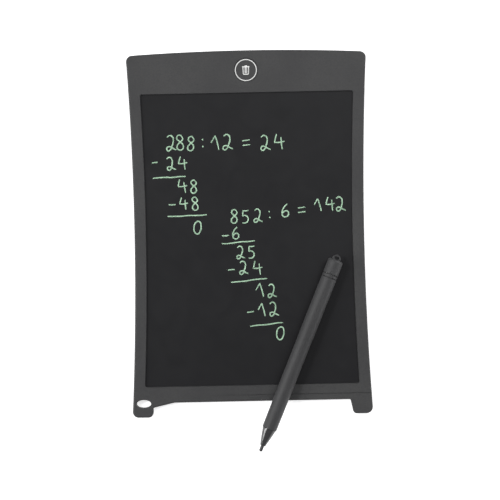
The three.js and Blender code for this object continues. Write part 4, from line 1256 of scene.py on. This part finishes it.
door = door_plate("cell_door", 0, 0, DOOR_THICK)
join_on(door, rod("plug", CELL_AT, PLUG_RADIUS, DOOR_THICK - 0.05, FLOOR_TOP))
cut(
    door,
    rod("screw_hole", SCREW_AT, SCREW_SHANK + SCREW_GAP, -THROUGH, FACE, 32),
    rod("counterbore", SCREW_AT, SCREW_HEAD + SCREW_GAP, -THROUGH, COUNTERBORE_TOP, 48),
)
round_rim(door, 0, DOOR_EDGE, 2)
for step in (-1, 0, 1):
    spot = (CELL_AT[0] + GRIP_OFF + step * GRIP_PITCH, CELL_AT[1])
    half = (GRIP_HALF, GRIP_REACH - abs(step) * GRIP_LESS)
    bar = pad("grip_bar", spot, half, -THROUGH, SIGN_DEEP)
    round_four(bar, GRIP_HALF - 0.01, 4)
    cut(door, bar)
spot = (CELL_AT[0] + PLUS_OFF, CELL_AT[1])
plus = pad("plus", spot, (PLUS_REACH, PLUS_HALF), -THROUGH, SIGN_DEEP)
join_on(plus, pad("upright", spot, (PLUS_HALF, PLUS_REACH), -THROUGH, SIGN_DEEP))
cut(door, plus)
smooth(door)
hand_over(door, "battery_door", "door_plastic", case_abs, "battery_door")

# %% Plated metals
def plated(name, *tones, roughness, grain, stretch=(1, 1, 1)):
    """A plated metal: a slightly cloudy tint and fine marks, drawn out along one way if brushed."""
    material, add, place = new_material(name)
    drawn = add("Mapping", {"Vector": place, "Scale": stretch})
    marks = add("TexNoise", {"Vector": drawn, "Scale": every(grain), "Detail": 4.0})
    cloud = add("TexNoise", {"Vector": place, "Scale": every(4), "Detail": 2.0})
    range_to = {"To Min": roughness - 0.08, "To Max": roughness + 0.12}
    rough = add("MapRange", {"Value": marks} | range_to)
    lay_finish(add, cloud, tones, {"Metallic": 1.0, "Roughness": rough}, (marks, 0.006))
    return material


# Zinc on steel screws: bluish silver, a little cloudy. Nickel on the cell: warmer and smoother,
# with fine marks across it. Tin on spring bronze: pale brass that shows its rolling marks.
zinc_plate = plated("zinc_plated_steel", "#a7acb3", "#bcc0c6", roughness=0.34, grain=0.25)
nickel_plate = plated(
    "nickel_plated_cell_steel", "#b4b2ad", "#c6c4be", roughness=0.26, grain=0.4, stretch=(1, 6, 1)
)
spring_bronze = plated(
    "rolled_spring_bronze", "#b99a5c", "#cdb27a", roughness=0.3, grain=0.3, stretch=(1, 8, 1)
)

# %% Screws
SHANK_GROOVE, THREAD_PITCH = 0.1, 0.5
CROSS_LONG, CROSS_WIDE, CROSS_DEEP = 1.25, 0.26, 0.22


def cross_screw(name, spot, head_face, head_under, shank_end):
    """A pan head screw. Its grooved shank stands for the thread, and a cross is sunk in its head."""
    way = 1 if shank_end > head_face else -1
    profile = [(0, head_face), (SCREW_HEAD, head_face, 0.14, 3)]
    profile += [(SCREW_HEAD, head_under), (SCREW_SHANK, head_under)]
    for turn in range(int(abs(shank_end - head_under) / THREAD_PITCH)):
        root_at = head_under + way * THREAD_PITCH * (turn + 0.6)
        crest_at = head_under + way * THREAD_PITCH * (turn + 1)
        profile += [(SCREW_SHANK - SHANK_GROOVE, root_at), (SCREW_SHANK, crest_at)]
    profile += [(SCREW_SHANK - 0.3, shank_end), (0, shank_end)]
    piece = turned(name, profile, 40)
    low, high = sorted((head_face - way, head_face + way * CROSS_DEEP))
    for half in ((CROSS_LONG, CROSS_WIDE), (CROSS_WIDE, CROSS_LONG)):
        arm = pad("arm", (0, 0), half, low, high)
        edit(arm)
        pick("faces", lambda face: face.normal.z * way > 0.9)
        bpy.ops.transform.resize(value=(0.7, 0.7, 1))
        cut(piece, arm)
    smooth(piece)
    put(piece, Matrix.Translation(at(*spot, 0)))
    return piece


low, high = node_box("battery_door_screw")
screw = cross_screw("door_cross_screw", SCREW_AT, low.z, low.z + 0.3, high.z)
hand_over(screw, "battery_door", "screw_steel", zinc_plate, "battery_door_screw")
for side in ("left", "right"):
    node = f"board_screw_{side}"
    low, high = node_box(node)
    screw = cross_screw(f"board_cross_screw_{side}", node_spot(node), high.z, high.z - 0.45, low.z)
    hand_over(screw, "tablet", "screw_steel", zinc_plate, node)

# %% Coin cell
CAN_RADIUS, CAN_RISE = 8.6, 0.2
cell_low, cell_high = node_box("coin_cell")
cell_radius = (cell_high.x - cell_low.x) / 2
shoulder = cell_high.z - CAN_RISE
cell = turned(
    "plain_coin_cell",
    [
        (0, cell_low.z), (cell_radius, cell_low.z, 0.35, 5), (cell_radius, shoulder, 0.2, 3),
        (CAN_RADIUS + 0.35, shoulder), (CAN_RADIUS + 0.2, shoulder - 0.12), (CAN_RADIUS, shoulder),
        (CAN_RADIUS, cell_high.z, 0.12, 3), (0, cell_high.z),
    ],
    96,
)
smooth(cell)
put(cell, Matrix.Translation(at(*CELL_AT, 0)))
hand_over(cell, "battery_door", "cell_steel", nickel_plate, "coin_cell")

# %% [markdown]
# The slider that locks the erase button lies in its recess on the back. It is a small plate with
# finger grooves across its travel and a post with a pocket for the switch's lever.

# %% Lock slider
GROOVE_HALF, GROOVE_PITCH, GROOVE_SUNK = (0.2, 1.3), 1.1, 0.15
POCKET_HALF = (0.7, 0.6)
PLATE_THICK, PLATE_CORNER, PLATE_EDGE = 0.5, 0.8, 0.12
# Black ABS, a shade darker and smoother than the case, so the ridges catch the light
slider_black = moulded(
    "black_ridged_abs", "#1d1d1e", "#262627", roughness=0.5, grain=0.5, depth=0.006
)
slider_low, slider_high = node_box("lock_slider")
plate_top = slider_low.z + PLATE_THICK
slider = pad("ridged_slider", SLIDER_AT, SLIDER_PLATE, slider_low.z, plate_top)
round_four(slider, PLATE_CORNER, 5)
round_rim(slider, slider_low.z, PLATE_EDGE, 2)
join_on(slider, pad("post", SLIDER_AT, SLIDER_POST, plate_top - 0.05, slider_high.z))
cut(slider, pad("pocket", SLIDER_AT, POCKET_HALF, node_box("lock_switch_lever")[0].z - 0.1, FACE))
for number in range(-2, 3):
    spot = (SLIDER_AT[0] + GROOVE_PITCH * number, SLIDER_AT[1])
    cut(slider, pad("groove", spot, GROOVE_HALF, -1, slider_low.z + GROOVE_SUNK))
smooth(slider)
hand_over(slider, "lock_slider", "slider_plastic", slider_black, "lock_slider")

# %% [markdown]
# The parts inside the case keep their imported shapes, which are right for what they are, and get
# real finishes. They show when the battery door comes off, and to anyone who takes the part apart.
# Chip parts have tinned ends, so each gets its own material, whose ends lie at the node's ends.

# %% Finishes of the electronics
TINNED = 0.35  # length of a chip's tinned end


def wave_every(size):
    """The scale at which a wave texture repeats every so many millimetres."""
    return math.tau / 20 / (size * MM)


def solder_mask():
    """Green lacquer over copper tracks, which show through it as paler lines 0.4 mm wide."""
    material, add, place = new_material("green_solder_mask")
    rows = {"Vector": place, "Scale": wave_every(1.6)}
    across = add("TexWave", rows, bands_direction="Y").outputs["Fac"]
    area = add("TexNoise", {"Vector": place, "Scale": every(5), "Detail": 0.0})
    line = add("Math", {0: across, 1: 0.8}, operation="GREATER_THAN")
    keep = add("Math", {0: area, 1: 0.48}, operation="GREATER_THAN")
    track = add("Math", {0: line, 1: keep}, operation="MULTIPLY")
    lay_finish(add, track, ("#14402a", "#2a6a45"), {"Roughness": 0.28, "IOR": 1.54}, (track, 0.03))
    return material


def ribbon_film():
    """Amber polyimide over copper tracks 0.5 mm apart, which run along the ribbon."""
    material, add, place = new_material("amber_polyimide_ribbon")
    rows = {"Vector": place, "Scale": wave_every(0.5)}
    tracks = add("TexWave", rows, bands_direction="X").outputs["Fac"]
    cloud = add("TexNoise", {"Vector": place, "Scale": every(3), "Detail": 2.0})
    rough = add("MapRange", {"Value": cloud, "To Min": 0.22, "To Max": 0.4})
    lay_finish(add, tracks, ("#8a5a22", "#c58b45"), {"Roughness": rough, "IOR": 1.6}, (tracks, 0.02))
    return material


def tinned_chip(node, *tones):
    """A ceramic chip, tinned at both ends."""
    low, high = node_box(node)
    material, add, place = new_material(f"tinned_{node}")
    x = add("SeparateXYZ", {0: place})
    off = add("Math", {0: x, 1: (low.x + high.x) / 2 * MM}, operation="SUBTRACT")
    away = add("Math", {0: off}, operation="ABSOLUTE")
    reach = ((high.x - low.x) / 2 - TINNED) * MM
    tinned = add("Math", {0: away, 1: reach}, operation="GREATER_THAN")
    speck = add("TexNoise", {"Vector": place, "Scale": every(0.2), "Detail": 3.0})
    body = add("Mix", {0: speck, 6: tones[0], 7: tones[1]}, data_type="RGBA")
    rough = add("MapRange", {"Value": tinned, "To Min": 0.5, "To Max": 0.3})
    metal = {"Metallic": tinned, "Roughness": rough}
    lay_finish(add, tinned, (body, "#c3c5c8"), metal, (speck, 0.008))
    return material


# %% Inner parts
# Black nylon with glass fibres, which mottle its satin surface
switch_nylon = moulded(
    "black_glass_filled_nylon", "#161617", "#202021", roughness=0.5, grain=0.4, depth=0.008
)
# Piece, its moulded or pressed material, two tones, roughness, spacing of the grain and its depth
RESINS = [
    # a dull, even black sheet
    ("backing_panel", "calendered_black_styrene", "#212122", "#2b2b2c", 0.6, 0.6, 0.012),
    # black foam, dead matt and open-pored
    ("film_tape_frame", "black_foam_tape", "#141415", "#202021", 0.85, 0.35, 0.03),
    # warm ivory with a soft shine
    ("switch_plunger", "ivory_acetal", "#cec9ba", "#dcd8cb", 0.4, 0.5, 0.004),
    # black with a dry, sandy surface
    ("controller_chip", "matt_chip_resin", "#151516", "#1f1f20", 0.62, 0.2, 0.01),
    # grey and gritty, like fired clay
    ("boost_inductor", "sintered_ferrite", "#333335", "#424245", 0.55, 0.25, 0.015),
    # pale cream, a little glossy
    ("flex_connector", "cream_connector_nylon", "#d1ccbc", "#dedacd", 0.45, 0.4, 0.012),
]
inner_finishes = {
    name: moulded(finish, *tones, roughness=roughness, grain=grain, depth=depth)
    for name, finish, *tones, roughness, grain, depth in RESINS
} | {
    # deep black, and glossier than the writing film
    "lcd_base_film": film_finish(
        "black_coated_polyester", "#0b0b0c", "#131314", roughness=0.32, grain=0.5
    ),
    "switch_body": switch_nylon,
    "lock_switch_lever": switch_nylon,
    "circuit_board": solder_mask(),
    "lcd_flex_tail": ribbon_film(),
    "cell_contact_negative": spring_bronze,
    "cell_contact_positive": spring_bronze,
    # a duller, greyer silver than the nickel, with fine marks all one way
    "lock_switch_body": plated(
        "tin_plated_switch_shell", "#b5b7ba", "#c9cbcd", roughness=0.32, grain=0.3, stretch=(6, 1, 1)
    ),
}
for name in ("capacitor_input", "capacitor_boost", "capacitor_filter"):
    inner_finishes[name] = tinned_chip(name, "#8c6d46", "#a5855a")
for name in ("resistor_pull_up", "resistor_discharge"):
    inner_finishes[name] = tinned_chip(name, "#18181a", "#232325")
for name, finish in inner_finishes.items():
    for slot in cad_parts[name].material_slots:
        slot.material = finish
print(len(inner_finishes), "inner parts finished")
